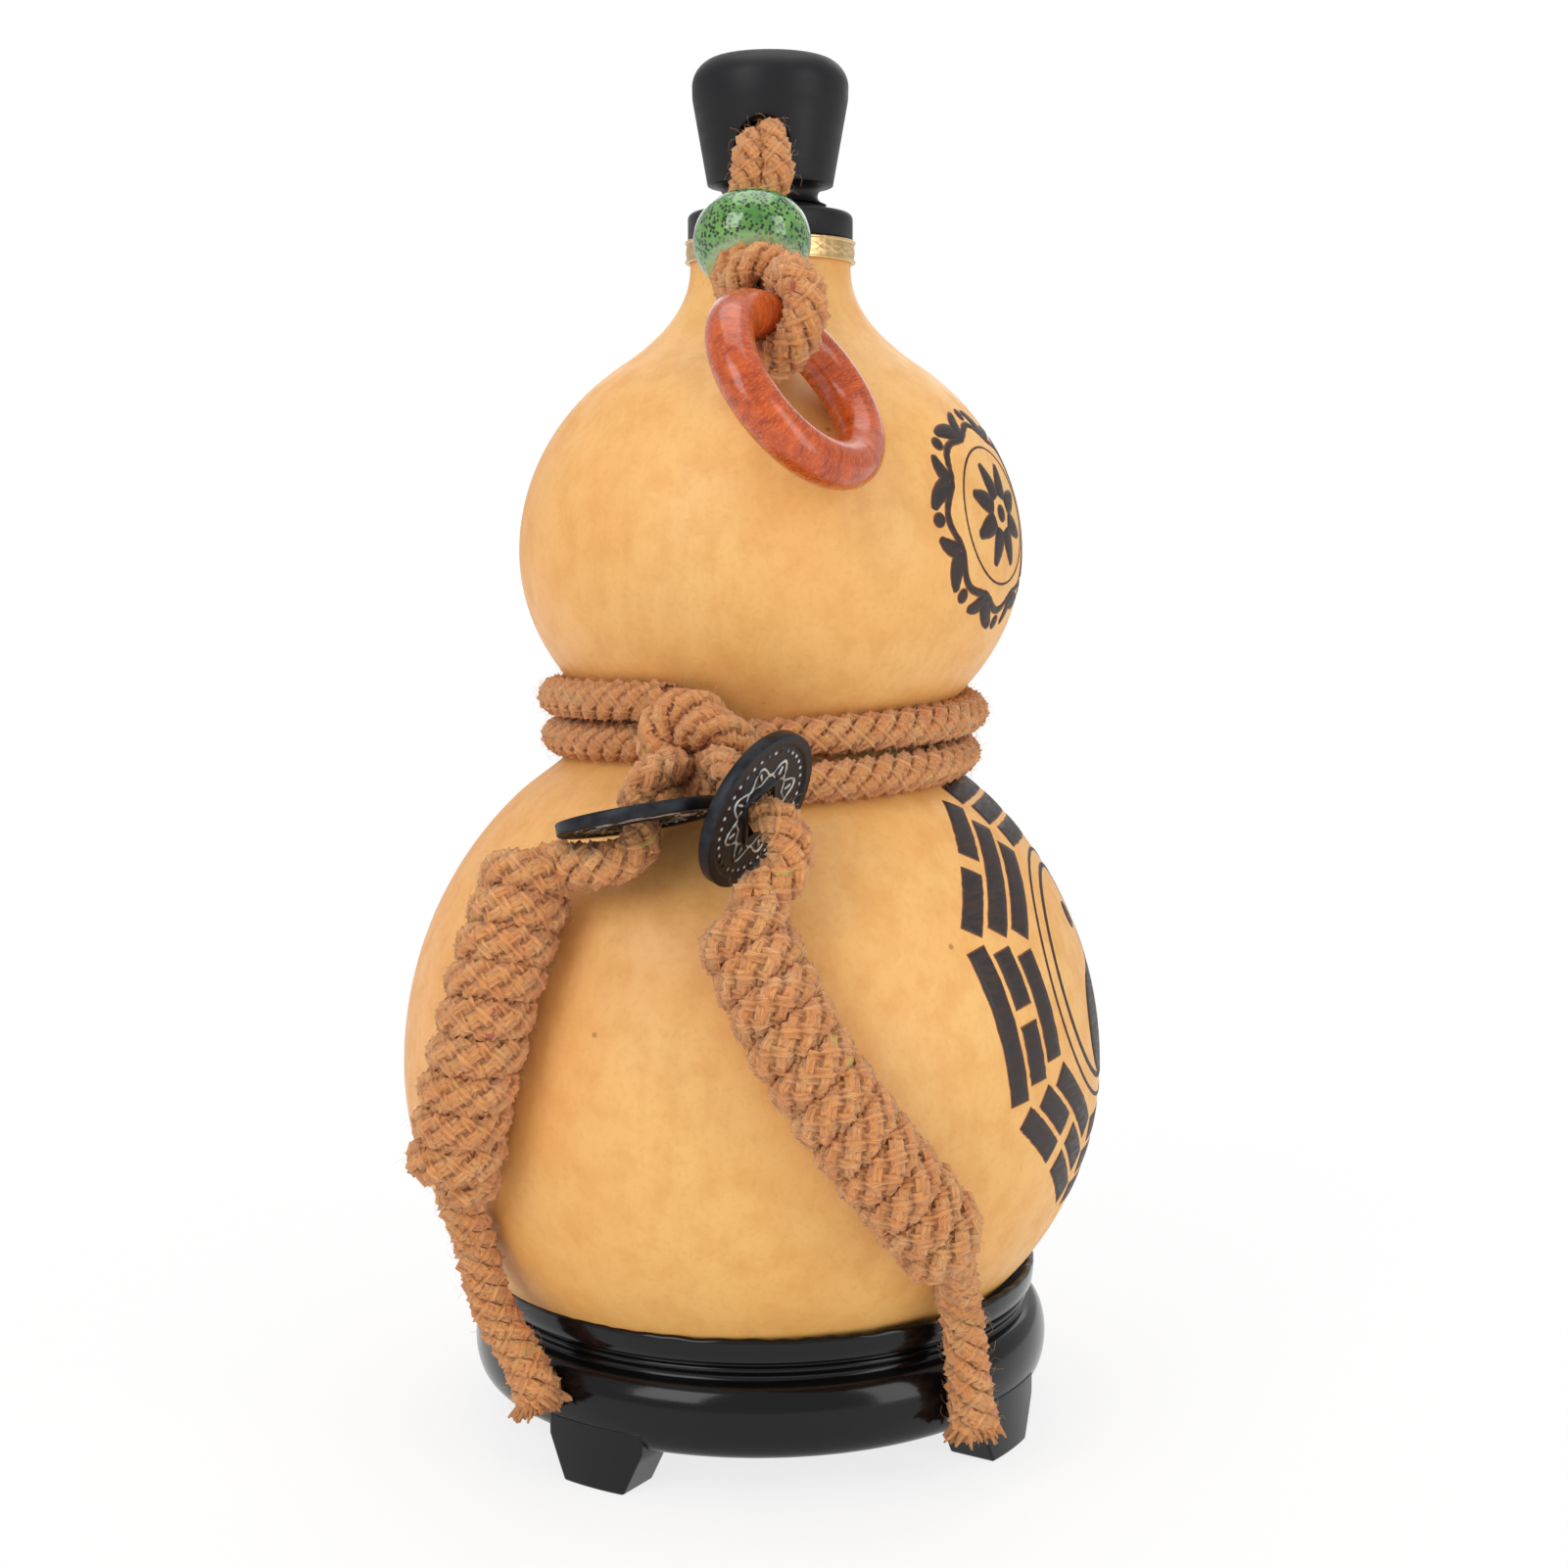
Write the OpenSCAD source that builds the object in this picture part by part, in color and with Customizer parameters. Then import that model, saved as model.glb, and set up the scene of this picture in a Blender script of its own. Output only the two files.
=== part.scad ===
// Dried gourd water flask on a moulded stand, tied round the waist, with a corded stopper.
// The origin is on the table under the middle of the lower lobe, +Z is up and -Y is the front.
// Sizes are in millimetres.

/* [Gourd] */
// Radius of the lower lobe at its widest
belly_r = 66.9; // [64:0.1:68]
// Height of the lower lobe's widest ring above the table
belly_z = 67.9; // [67:0.1:69]
// Depth of the lower lobe below its widest ring
belly_drop = 61; // [59:0.1:62]
// Rise of the lower lobe above its widest ring, if it closed to a point
belly_rise = 69.3; // [68:0.1:70]
// Radius of the waist
waist_r = 32.6; // [31:0.1:33.5]
// Radius of the upper lobe at its widest
crown_r = 47.4; // [45:0.1:48.5]
// Height of the upper lobe's widest ring above the table
crown_z = 165.2; // [164.5:0.1:166]
// Depth of the upper lobe below its widest ring, if it closed to a point
crown_drop = 40.5; // [39.5:0.1:41.5]
// Rise of the upper lobe above its widest ring, if it closed to a point
crown_rise = 43.1; // [41:0.1:44]
// How far the upper lobe and the neck stand to the right of the lower lobe
crown_shift = 3.6; // [0:0.1:4.5]
// Outer radius of the neck
neck_r = 15; // [14.5:0.1:15.3]
// Radius of the neck's bore
neck_bore_r = 11.55; // [11.5:0.01:11.6]
// Height of the neck's top above the table
neck_top = 223; // [222.5:0.1:223.5]
// Thickness of the dried shell
shell_wall = 4; // [3:0.1:5]

/* [Mouth and stopper] */
// Radius of the collar's flange
flange_r = 15.4; // [15.2:0.1:16]
// Thickness of the collar's flange
flange_h = 5.2; // [4.6:0.1:5.6]
// Outer radius of the collar's sleeve inside the neck
sleeve_r = 11.5; // [11.3:0.01:11.5]
// Length of the sleeve below the flange
sleeve_h = 16; // [10:0.5:18]
// Radius of the mouth's bore
mouth_r = 9; // [8.95:0.01:9.2]
// Height of the metal band under the flange
band_h = 4.1; // [3:0.1:4.6]
// Thickness of the metal band
band_wall = 0.6; // [0.4:0.05:0.8]
// Height of the stopper's head and neck above the flange
head_h = 29.6; // [28.5:0.1:30.5]
// Largest radius of the stopper's head
head_r = 14.5; // [14:0.1:15]
// Radius of the head's lower edge
head_low_r = 11.3; // [10.8:0.1:11.8]
// Rounding of the head's upper edge
head_round = 6.4; // [4:0.1:7]
// Length of the stem inside the mouth
stem_in = 19; // [14:0.5:20]
// Radius of the stem
stem_r = 8.7; // [8.4:0.05:8.8]
// Radius of the section of a seal ring
seal_wire = 0.9; // [0.7:0.05:1]
// Radius of the cord's socket in the head
socket_r = 5.6; // [5.5:0.1:6]
// Depth of the cord's socket
socket_deep = 9; // [6:0.5:10]

/* [Stand] */
// Height of the stand's lip above the table
lip_z = 29.4; // [28.8:0.1:30]
// Thickness of the lip
lip_wall = 1.3; // [1:0.1:1.6]
// Height of the lip's band
lip_band = 4.2; // [3.6:0.1:4.6]
// How far the stand's axis lies to the right of the lower lobe
stand_shift = 1.6; // [1:0.1:2]
// Largest radius of the rounded rim
rim_r = 55.6; // [55:0.1:56]
// Height of the rounded rim's middle
rim_z = 14.8; // [14.4:0.1:15.2]
// Height of the rounded rim
rim_h = 14; // [13.2:0.1:14.4]
// Thickness of the stand's wall
stand_wall = 2.4; // [2:0.1:2.8]
// Radius of the hole in the middle of the dish
dish_hole_r = 24; // [18:0.5:27]
// Turn of the first foot away from the front
foot_turn = 33; // [0:1:60]
// Width of a foot at its top
foot_top_w = 20.5; // [17:0.5:24]
// Width of a foot at the table
foot_low_w = 13; // [10:0.5:16]
// Depth of a foot from its outer face inwards
foot_deep = 9; // [6:0.5:10]

/* [Cords, coins, bead and ring] */
// Radius of the cord round the waist
wrap_r = 3.5; // [3.2:0.05:3.5]
// Rise of the waist cord in one turn
wrap_rise = 7.6; // [7.5:0.05:7.8]
// Radius of the two hanging tails
tail_r = 3.8; // [3.4:0.05:3.9]
// Radius of the strand in the windings
wound_r = 2.6; // [2.3:0.05:2.6]
// Distance of the winding's strand from the tail's middle
wound_at = 5.6; // [5.5:0.05:5.7]
// Rise of a winding in one turn
wound_rise = 6.5; // [6.4:0.05:6.6]
// Radius of the lanyard's strands
lanyard_r = 2.55; // [2.2:0.05:2.55]
// Radius of the lanyard's strand where it loops round the ring
loop_r = 2.8; // [2.4:0.05:2.9]
// Radius of the bead
bead_r = 10.4; // [9:0.1:10.5]
// Height of the bead
bead_h = 13.6; // [11:0.1:14]
// Radius of the bead's bore
bead_bore_r = 4.7; // [4.6:0.05:5]
// Radius of the pull ring's middle line
ring_r = 15.3; // [14.8:0.1:15.5]
// Radius of the pull ring's section
ring_wire = 4.15; // [3.6:0.05:4.2]
// Radius of a coin
coin_r = 14.2; // [13:0.1:14.2]
// Thickness of a coin's field
coin_h = 1.4; // [1:0.1:1.6]
// Height of a coin's rims above its field
coin_rim = 0.4; // [0.2:0.05:0.4]
// Width of a coin's square hole
coin_hole = 7; // [6.6:0.1:7.4]

/* [Hidden] */

round_fn = 96;
fine_fn = 24;
cord_sides = 8;
strand_sides = 6;
steps_a_turn = 24;
seat_gap = 0.3;
fit_gap = 0.05;

// Heights where the lobes end, and the ring that joins them under the waist cord
link_low = 130.5;
link_high = 138;
link_lap = 0.8;
link_r = waist_r - 0.4;
// Angles on the lobes where other curves take over
belly_leave = 48;
crown_leave = 54;
neck_straight = 5;

flange_top = neck_top + flange_h;
socket_at = [2, 242.5];

// Routes of the cords: each point gives x, y, z and how thick the cord is there, 1 being full
left_route = [
  [-13, -46.5, 129.6, 0.42], [-14.4, -51, 129.7, 0.7], [-17.4, -56.2, 128.4, 0.7],
  [-19.1, -56.9, 125.4, 0.62], [-18.6, -57.5, 122, 0.58], [-18.1, -58.1, 118.9, 0.68],
  [-20.2, -58.6, 115.8, 0.92], [-24.8, -57.6, 114.2, 1], [-29.4, -55.4, 113.6, 0.9],
  [-33.2, -53, 113.3, 0.66]
];
left_axis = [
  [-37.4, -51.4, 112.2], [-41.4, -55, 100.4], [-45.1, -57.8, 87], [-48.6, -57.7, 73],
  [-51.2, -55.6, 60]
];
left_end = [
  [-50.9, -52.6, 56.4, 0.8], [-50, -49.8, 51.8, 1], [-48.7, -46.4, 45.8, 1], [-47.5, -44.2, 38, 1],
  [-45.5, -43, 31, 1], [-43, -42.8, 26.5, 1], [-40.5, -43.3, 22, 1], [-38.6, -44.2, 18, 1],
  [-37.7, -45, 15, 1]
];
right_route = [
  [-6, -47, 130, 0.42], [-4.9, -51.6, 130.2, 0.68], [-2.6, -56.8, 128.6, 0.64],
  [0.9, -60.5, 123.9, 0.58], [4.1, -62.4, 122.3, 0.72], [6.5, -63.8, 118.8, 0.95],
  [6, -64.8, 114.6, 1], [3.2, -65.4, 111.4, 0.9], [0.6, -66.2, 108.9, 0.68]
];
right_axis = [
  [-1.4, -66.9, 105.4], [4.6, -72, 92.2], [11.8, -73.9, 80], [19.6, -73.3, 69],
  [27, -70.4, 59], [33, -66.3, 50.6]
];
right_end = [
  [33.4, -63, 48.6, 0.8], [34.5, -58.6, 44.6, 1], [35.4, -54, 41, 1], [36.2, -50.6, 36.5, 1],
  [37.2, -49, 31, 1], [37.8, -48.4, 25.6, 1], [38.4, -47.8, 20, 1], [39.1, -47.2, 14.5, 1],
  [39.5, -47, 11.4, 1]
];
// One side of the lanyard from the stopper to the bead, as x from its middle, y, z and thickness
lanyard_side = [
  [2.65, -13.5, 242.8, 1], [2.65, -16.6, 241.5, 1], [2.65, -18.2, 237.5, 1], [2.65, -19.4, 232.5, 1]
];
// The loop below the bead, round the ring
lanyard_loop = [
  [6, -38, 213, 1], [7.4, -45.3, 211.6, 1], [9.4, -48.9, 207.6, 1], [8.1, -49.9, 202.2, 1],
  [4.4, -47.7, 198.5, 1], [0.4, -43.7, 198.7, 1], [-1.6, -40.2, 202.6, 1], [-2.2, -35, 209, 1]
];

bead_at = [0.3, -26.6, 220.2];
bead_turn = [0, 32, 95];
bead_strand_at = 2.3;
bead_strand_r = 2.1;
ring_at = [7.7, -53.3, 193.2];
ring_turn = [0, 56, -33];
left_coin_at = [-18.6, -57.5, 122];
left_coin_turn = [0, 15.6, 129];
right_coin_at = [0.9, -60.5, 123.9];
right_coin_turn = [0, 113.2, -30.6];

// The knot is a three-lobed ring knot
knot_at = [-9.5, -42.1, 132.6];
knot_ring_r = 4.6;
knot_swing_r = 2.1;
knot_strand_r = 1.85;
knot_rings = 48;

wrap_start_z = 125.2;
wrap_wave = 0.5;
wrap_from = 24;
wrap_to = 696;
wrap_step = 8;
wrap_clear = 0.45;
knot_side = atan2(knot_at[1], knot_at[0]);

function unit(v) = v / norm(v);
function backwards(list) = [for (i = [len(list) - 1:-1:0]) list[i]];
function place(v) = [v[0], v[1], v[2]];

// A cubic between two heights; each knot gives height, radius and slope
function cubic(z, a, b) =
  let (h = b[0] - a[0], s = (z - a[0]) / h, e = s * s * (3 - 2 * s))
    (1 - e) * a[1] + e * b[1]
    + s * (1 - s) * (1 - s) * h * a[2] - s * s * (1 - s) * h * b[2];
function cubic_points(a, b, steps) =
  [for (i = [1:steps - 1]) let (z = a[0] + (b[0] - a[0]) * i / steps) [cubic(z, a, b), z]];

// A lobe's point at an angle above its widest ring, and the same as a knot for the cubic
function lobe_point(r, z, low, high, t) = [r * cos(t), z + (t < 0 ? low : high) * sin(t)];
function lobe_knot(r, z, low, high, t) =
  let (p = lobe_point(r, z, low, high, t)) [p[1], p[0], -r / (t < 0 ? low : high) * tan(t)];
function lobe_arc(r, z, low, high, from, to, steps) =
  [for (i = [0:steps]) lobe_point(r, z, low, high, from + (to - from) * i / steps)];

// Profile of the lower lobe from its bottom to the waist, drawn in by inset for the inner face
function lower_profile(inset) =
  let (
    r = belly_r - inset,
    low = belly_drop - inset,
    high = belly_rise - inset,
    leave = lobe_knot(r, belly_z, low, high, belly_leave),
    end = [link_low, waist_r - inset, 0]
  )
    concat(
      lobe_arc(r, belly_z, low, high, -90, belly_leave, 28),
      cubic_points(leave, end, 8),
      [[end[1], end[0]]]
    );

// Profile of the upper lobe from the waist to the top of the neck
function upper_profile(inset, neck) =
  let (
    r = crown_r - inset,
    low = crown_drop - inset,
    high = crown_rise - inset,
    start = asin((link_high - crown_z) / low),
    leave = lobe_knot(r, crown_z, low, high, crown_leave),
    end = [neck_top - neck_straight, neck, 0]
  )
    concat(
      lobe_arc(r, crown_z, low, high, start, crown_leave, 22),
      cubic_points(leave, end, 10),
      [[neck, end[0]], [neck, neck_top]]
    );

// Outer radius of the gourd at a height near the waist, on the side with the given direction
function lower_surface(z) =
  let (leave = lobe_knot(belly_r, belly_z, belly_drop, belly_rise, belly_leave))
    z > leave[0] ? cubic(z, leave, [link_low, waist_r, 0])
    : belly_r * sqrt(1 - pow((z - belly_z) / belly_rise, 2));
function upper_surface(z) = crown_r * sqrt(1 - pow((z - crown_z) / crown_drop, 2));
function waist_surface(z, side) =
  max(
    z < link_low ? lower_surface(z) : 0,
    z > link_high ? upper_surface(z) + crown_shift * cos(side) : 0,
    z > link_low - link_lap && z < link_high + link_lap ? link_r + crown_shift / 2 * cos(side) : 0
  );

module wall(outer, inner) {
  rotate_extrude($fn = round_fn)
    polygon(concat(outer, backwards(inner)));
}

// The short length of shell inside the waist that joins the two lobes
module waist_link() {
  translate([crown_shift / 2, 0, 0])
    wall(
      [[link_r, link_low - link_lap], [link_r, link_high + link_lap]],
      [[link_r - shell_wall, link_low - link_lap], [link_r - shell_wall, link_high + link_lap]]
    );
}

module gourd_shell() {
  color([0.90, 0.70, 0.40]) {
    wall(lower_profile(0), lower_profile(shell_wall));
    waist_link();
    translate([crown_shift, 0, 0])
      wall(upper_profile(0, neck_r), upper_profile(shell_wall, neck_bore_r));
  }
}

// Points of a quarter circle that starts at an angle
function quarter(centre, r, from, steps) =
  [for (i = [0:steps]) let (a = from + 90 * i / steps) centre + r * [cos(a), sin(a)]];

module mouth_collar() {
  edge = 1.2;
  chamfer = 0.5;
  color([0.13, 0.13, 0.14])
    translate([crown_shift, 0, 0])
      rotate_extrude($fn = round_fn)
        polygon(concat(
          [
            [mouth_r, neck_top - sleeve_h], [sleeve_r, neck_top - sleeve_h],
            [sleeve_r, neck_top], [flange_r, neck_top]
          ],
          quarter([flange_r - edge, flange_top - edge], edge, 0, 6),
          [[mouth_r + chamfer, flange_top], [mouth_r, flange_top - chamfer]]
        ));
}

// A thin metal band with a rolled edge above and below
module neck_band() {
  roll = 0.35;
  inner = neck_r + fit_gap;
  color([0.78, 0.62, 0.38])
    translate([crown_shift, 0, neck_top - fit_gap - band_h])
      rotate_extrude($fn = round_fn) {
        translate([inner, 0])
          square([band_wall, band_h]);
        for (z = [roll, band_h - roll])
          translate([inner + band_wall, z])
            circle(r = roll, $fn = 16);
      }
}

seal_heights = [flange_top - 4.5, flange_top - 12];
seal_at = mouth_r - fit_gap - seal_wire;

// Profile of the stopper: stem, hollow round below the head, taper and rounded top
function stopper_profile() =
  let (
    bottom = flange_top - stem_in,
    edge = 1,
    hollow_low = flange_top + 1.4,
    hollow_h = 3.4,
    hollow_w = head_low_r - stem_r,
    top = flange_top + head_h,
    round_z = top - head_round - 0.4
  )
    concat(
      [[0, bottom], [stem_r - edge, bottom], [stem_r, bottom + edge]],
      [for (i = [0:6]) let (a = 15 * i)
        [stem_r + hollow_w * (1 - cos(a)), hollow_low + hollow_h * sin(a)]],
      [[head_low_r + 0.3, hollow_low + hollow_h + 0.5]],
      quarter([head_r - head_round, round_z], head_round, 0, 8),
      [[head_r - 1.5 * head_round, top], [0, top]]
    );

module stopper() {
  color([0.16, 0.16, 0.17])
    difference() {
      translate([crown_shift, 0, 0])
        rotate_extrude($fn = round_fn)
          difference() {
            polygon(stopper_profile());
            for (z = seal_heights)
              translate([seal_at, z])
                circle(r = seal_wire + 0.02, $fn = fine_fn);
          }
      translate([socket_at[0], -2 * head_r, socket_at[1]])
        rotate([-90, 0, 0])
          cylinder(r = socket_r, h = head_r + socket_deep, $fn = round_fn);
    }
}

module stopper_seals() {
  color([0.85, 0.85, 0.83])
    translate([crown_shift, 0, 0])
      for (z = seal_heights)
        rotate_extrude($fn = round_fn)
          translate([seal_at, z])
            circle(r = seal_wire, $fn = fine_fn);
}

// Profile of the stand's bowl, read from the hole up the dish, over the lip and down the rim
dish_drop = belly_drop + seat_gap;
dish_hole_angle = -acos((dish_hole_r - stand_shift) / belly_r);
dish_lip_angle = -asin((belly_z - lip_z) / dish_drop);
function dish_point(t, down) =
  let (n = unit([cos(t) / belly_r, sin(t) / belly_drop]))
    [stand_shift + belly_r * cos(t), belly_z + dish_drop * sin(t)] + down * n;
function rim_point(t, inset) =
  let (half = rim_h / 2, middle = rim_r - 6.6)
    [middle + (rim_r - middle - inset) * pow(cos(t), 0.5), rim_z + (half - inset) * sin(t)];
function stand_profile() =
  let (
    lip_in = dish_point(dish_lip_angle, 0),
    lip_out = lip_in[0] + lip_wall,
    band_z = lip_z - lip_band,
    groove = 1.4,
    bead = 0.6,
    bead_z = band_z - 1.5,
    under_angle = -47
  )
    concat(
      [for (i = [0:12]) dish_point(dish_hole_angle + (dish_lip_angle - dish_hole_angle) * i / 12, 0)],
      [[lip_in[0] + 0.3, lip_z + 0.2], [lip_out - 0.3, lip_z + 0.2], [lip_out, lip_z - 0.2]],
      [[lip_out - 0.4, band_z], [lip_out - groove - 0.4, band_z - 0.4]],
      [for (i = [0:6]) let (a = 90 - 30 * i)
        [lip_out - groove - 0.4 + bead * cos(a), bead_z + bead * sin(a)]],
      [for (i = [0:16]) rim_point(80 - 10 * i, 0)],
      [for (i = [0:14]) rim_point(-70 + 9.6 * i, stand_wall)],
      [for (i = [0:8])
        dish_point(under_angle + (dish_hole_angle - under_angle) * i / 8, stand_wall - 0.2)]
    );

module foot() {
  foot_top = 12;
  foot_bend = 8;
  intersection() {
    difference() {
      cylinder(r = rim_r - 0.2, h = foot_top, $fn = round_fn);
      translate([0, 0, -1])
        cylinder(r = rim_r - 0.2 - foot_deep, h = foot_top + 2, $fn = round_fn);
    }
    rotate([90, 0, 90])
      linear_extrude(height = rim_r + 1)
        polygon([
          [-foot_low_w / 2, 0], [foot_low_w / 2, 0],
          [foot_top_w / 2, foot_bend], [foot_top_w / 2, foot_top],
          [-foot_top_w / 2, foot_top], [-foot_top_w / 2, foot_bend]
        ]);
  }
}

module stand() {
  color([0.10, 0.10, 0.11])
    translate([stand_shift, 0, 0]) {
      rotate_extrude($fn = round_fn)
        polygon(stand_profile());
      for (k = [0:3])
        rotate([0, 0, -90 - foot_turn + 90 * k])
          foot();
    }
}

// A smooth curve through points, as a list with some steps between each two
function curve_point(p, i, t) =
  let (a = p[max(i - 1, 0)], b = p[i], c = p[i + 1], d = p[min(i + 2, len(p) - 1)])
    0.5 * (2 * b + (c - a) * t + (2 * a - 5 * b + 4 * c - d) * t * t + (3 * b - a - 3 * c + d) * t * t * t);
function curve(p, steps) =
  concat(
    [for (i = [0:len(p) - 2]) for (j = [0:steps - 1]) curve_point(p, i, j / steps)],
    [p[len(p) - 1]]
  );

function tangent(p, i) = unit(place(p[min(i + 1, len(p) - 1)]) - place(p[max(i - 1, 0)]));
function across(v, t) = unit(v - (v * t) * t);
// Normals carried along a path without twist, starting from a given direction
function normals(p, first) =
  [for (
    i = 0, n = across(first, tangent(p, 0));
    i < len(p);
    i = i + 1, n = i < len(p) ? across(n, tangent(p, i)) : n
  ) n];

// A tube along points that give x, y, z and radius
module tube(p, first, sides) {
  n = normals(p, first);
  rings = [for (i = [0:len(p) - 1]) let (b = cross(tangent(p, i), n[i]))
    for (k = [0:sides - 1]) let (a = 360 * k / sides)
      place(p[i]) + p[i][3] * (cos(a) * n[i] + sin(a) * b)];
  sides_faces = [for (i = [0:len(p) - 2]) for (k = [0:sides - 1]) let (m = (k + 1) % sides)
    each [
      [i * sides + k, (i + 1) * sides + k, (i + 1) * sides + m],
      [i * sides + k, (i + 1) * sides + m, i * sides + m]
    ]];
  last = (len(p) - 1) * sides;
  polyhedron(
    points = rings,
    faces = concat(
      sides_faces,
      [[for (k = [0:sides - 1]) k]],
      [[for (k = [sides - 1:-1:0]) last + k]]
    )
  );
}

// A closed tube along points with their own normals
module closed_tube(p, n, r, sides) {
  count = len(p);
  rings = [for (i = [0:count - 1])
    let (t = unit(p[(i + 1) % count] - p[(i + count - 1) % count]), b = cross(t, n[i]))
      for (k = [0:sides - 1]) let (a = 360 * k / sides) p[i] + r * (cos(a) * n[i] + sin(a) * b)];
  polyhedron(
    points = rings,
    faces = [for (i = [0:count - 1]) let (j = (i + 1) % count)
      for (k = [0:sides - 1]) let (m = (k + 1) % sides)
        each [
          [i * sides + k, j * sides + k, j * sides + m],
          [i * sides + k, j * sides + m, i * sides + m]
        ]]
  );
}

// Distance of the waist cord's middle from the axis, resting on the gourd
wrap_edges = [link_low - link_lap + fit_gap, link_high + fit_gap];
function wrap_touch(z, at, side) =
  let (d = (at - z) / wrap_r)
    abs(d) < 1 ? waist_surface(at, side) + wrap_r * sqrt(1 - d * d) : 0;
function wrap_ride(z, side) =
  wrap_clear
  + max([
    for (i = [-9:9]) wrap_touch(z, z + i / 10 * wrap_r, side),
    for (at = wrap_edges) wrap_touch(z, at, side)
  ]);
function wrap_point(a) =
  let (
    side = knot_side + a,
    z = wrap_start_z + wrap_rise * a / 360 + wrap_wave * sin(a),
    r = wrap_ride(z, side)
  )
    [r * cos(side), r * sin(side), z, wrap_r];

module waist_cord() {
  color([0.72, 0.50, 0.32])
    tube([for (a = [wrap_from:wrap_step:wrap_to]) wrap_point(a)], [0, 0, 1], cord_sides);
}

function knot_point(t) =
  let (r = knot_ring_r + knot_swing_r * cos(3 * t))
    [r * cos(2 * t), r * sin(2 * t), knot_swing_r * sin(3 * t)];
function knot_normal(t) = [cos(3 * t) * cos(2 * t), cos(3 * t) * sin(2 * t), sin(3 * t)];

module waist_knot() {
  turns = [for (i = [0:knot_rings - 1]) 360 * i / knot_rings];
  color([0.70, 0.48, 0.30])
    translate(knot_at)
      rotate([90, 0, knot_side + 90])
        closed_tube([for (t = turns) knot_point(t)], [for (t = turns) knot_normal(t)], knot_strand_r, strand_sides);
}

// The tail's core inside its winding is thinner than the tail
core_share = 2.5 / tail_r;
function tail_path(route, axis, end) =
  [for (p = curve(concat(route, [for (a = axis) concat(a, core_share)], end), 2))
    [p[0], p[1], p[2], p[3] * tail_r]];

module left_tail_cord() {
  color([0.72, 0.50, 0.32])
    tube(tail_path(left_route, left_axis, left_end), [0, 0, 1], cord_sides);
}

module right_tail_cord() {
  color([0.72, 0.50, 0.32])
    tube(tail_path(right_route, right_axis, right_end), [0, 0, 1], cord_sides);
}

// Lengths along a path, and its point at a length
function lengths(p) =
  [for (i = 0, s = 0; i < len(p); i = i + 1, s = i < len(p) ? s + norm(p[i] - p[i - 1]) : s) s];
function along(p, s, at) =
  [for (k = [0:2]) lookup(at, [for (i = [0:len(p) - 1]) [s[i], p[i][k]]])];

// The strand wound round a tail: half turns at both ends make its ends point outwards
function winding_path(axis, turns, outward) =
  let (
    p = curve(axis, 6),
    s = lengths(p),
    spare = (s[len(s) - 1] - turns * wound_rise) / 2,
    steps = turns * steps_a_turn,
    mids = [for (i = [0:steps]) along(p, s, spare + wound_rise * i / steps_a_turn)],
    n = normals(mids, outward),
    coil = [for (i = [0:steps])
      let (a = 90 + 360 * i / steps_a_turn, b = cross(tangent(mids, i), n[i]))
        mids[i] + wound_at * (cos(a) * n[i] + sin(a) * b)],
    first = unit(coil[0] - coil[1]),
    last = unit(coil[steps] - coil[steps - 1]),
    straight = 2 * wound_r
  )
    concat([coil[0] + straight * first], coil, [coil[steps] + straight * last]);

// Least gap of a winding to itself, between points more than half a turn apart
function self_gap(p) =
  min([for (i = [0:3:len(p) - 1]) for (j = [i + steps_a_turn / 2:1:len(p) - 1]) norm(p[i] - p[j])])
  - 2 * wound_r;

left_strand = winding_path(left_axis, 7.5, [-0.6, -0.8, 0]);
right_strand = winding_path(right_axis, 8.5, [0, -1, 0]);
echo(left_winding_gap = self_gap(left_strand), right_winding_gap = self_gap(right_strand));

module winding(strand) {
  color([0.70, 0.48, 0.30])
    tube([for (p = strand) concat(p, wound_r)], [0, 0, 1], strand_sides);
}

module left_winding() {
  winding(left_strand);
}

module right_winding() {
  winding(right_strand);
}

// A coin with a square hole and a raised rim round its edge and round the hole, on both faces
module coin() {
  rim_w = 2;
  whole = coin_h + 2 * coin_rim;
  color([0.22, 0.23, 0.25])
    difference() {
      union() {
        cylinder(r = coin_r, h = coin_h, center = true, $fn = round_fn);
        difference() {
          cylinder(r = coin_r, h = whole, center = true, $fn = round_fn);
          cylinder(r = coin_r - rim_w, h = whole + 1, center = true, $fn = round_fn);
        }
        cube([coin_hole + rim_w, coin_hole + rim_w, whole], center = true);
      }
      cube([coin_hole, coin_hole, whole + 1], center = true);
    }
}

module left_coin() {
  translate(left_coin_at)
    rotate(left_coin_turn)
      coin();
}

module right_coin() {
  translate(right_coin_at)
    rotate(right_coin_turn)
      coin();
}

// The lanyard is one cord: out of the stopper, through the bead, round the ring and back
bead_axis = [
  sin(bead_turn[1]) * cos(bead_turn[2]), sin(bead_turn[1]) * sin(bead_turn[2]), cos(bead_turn[1])
];
function lanyard_down(side) =
  concat(
    [for (p = lanyard_side) [socket_at[0] + side * p[0], p[1], p[2], lanyard_r]],
    [for (d = [8.4, 4, -4, -8.4])
      concat(bead_at + d * bead_axis + [side * bead_strand_at, 0, 0], bead_strand_r)]
  );

module lanyard_cord() {
  p = concat(
    lanyard_down(1),
    [for (q = lanyard_loop) [q[0], q[1], q[2], loop_r]],
    backwards(lanyard_down(-1))
  );
  color([0.74, 0.54, 0.36])
    tube(curve(p, 2), [1, 0, 0], cord_sides);
}

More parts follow.
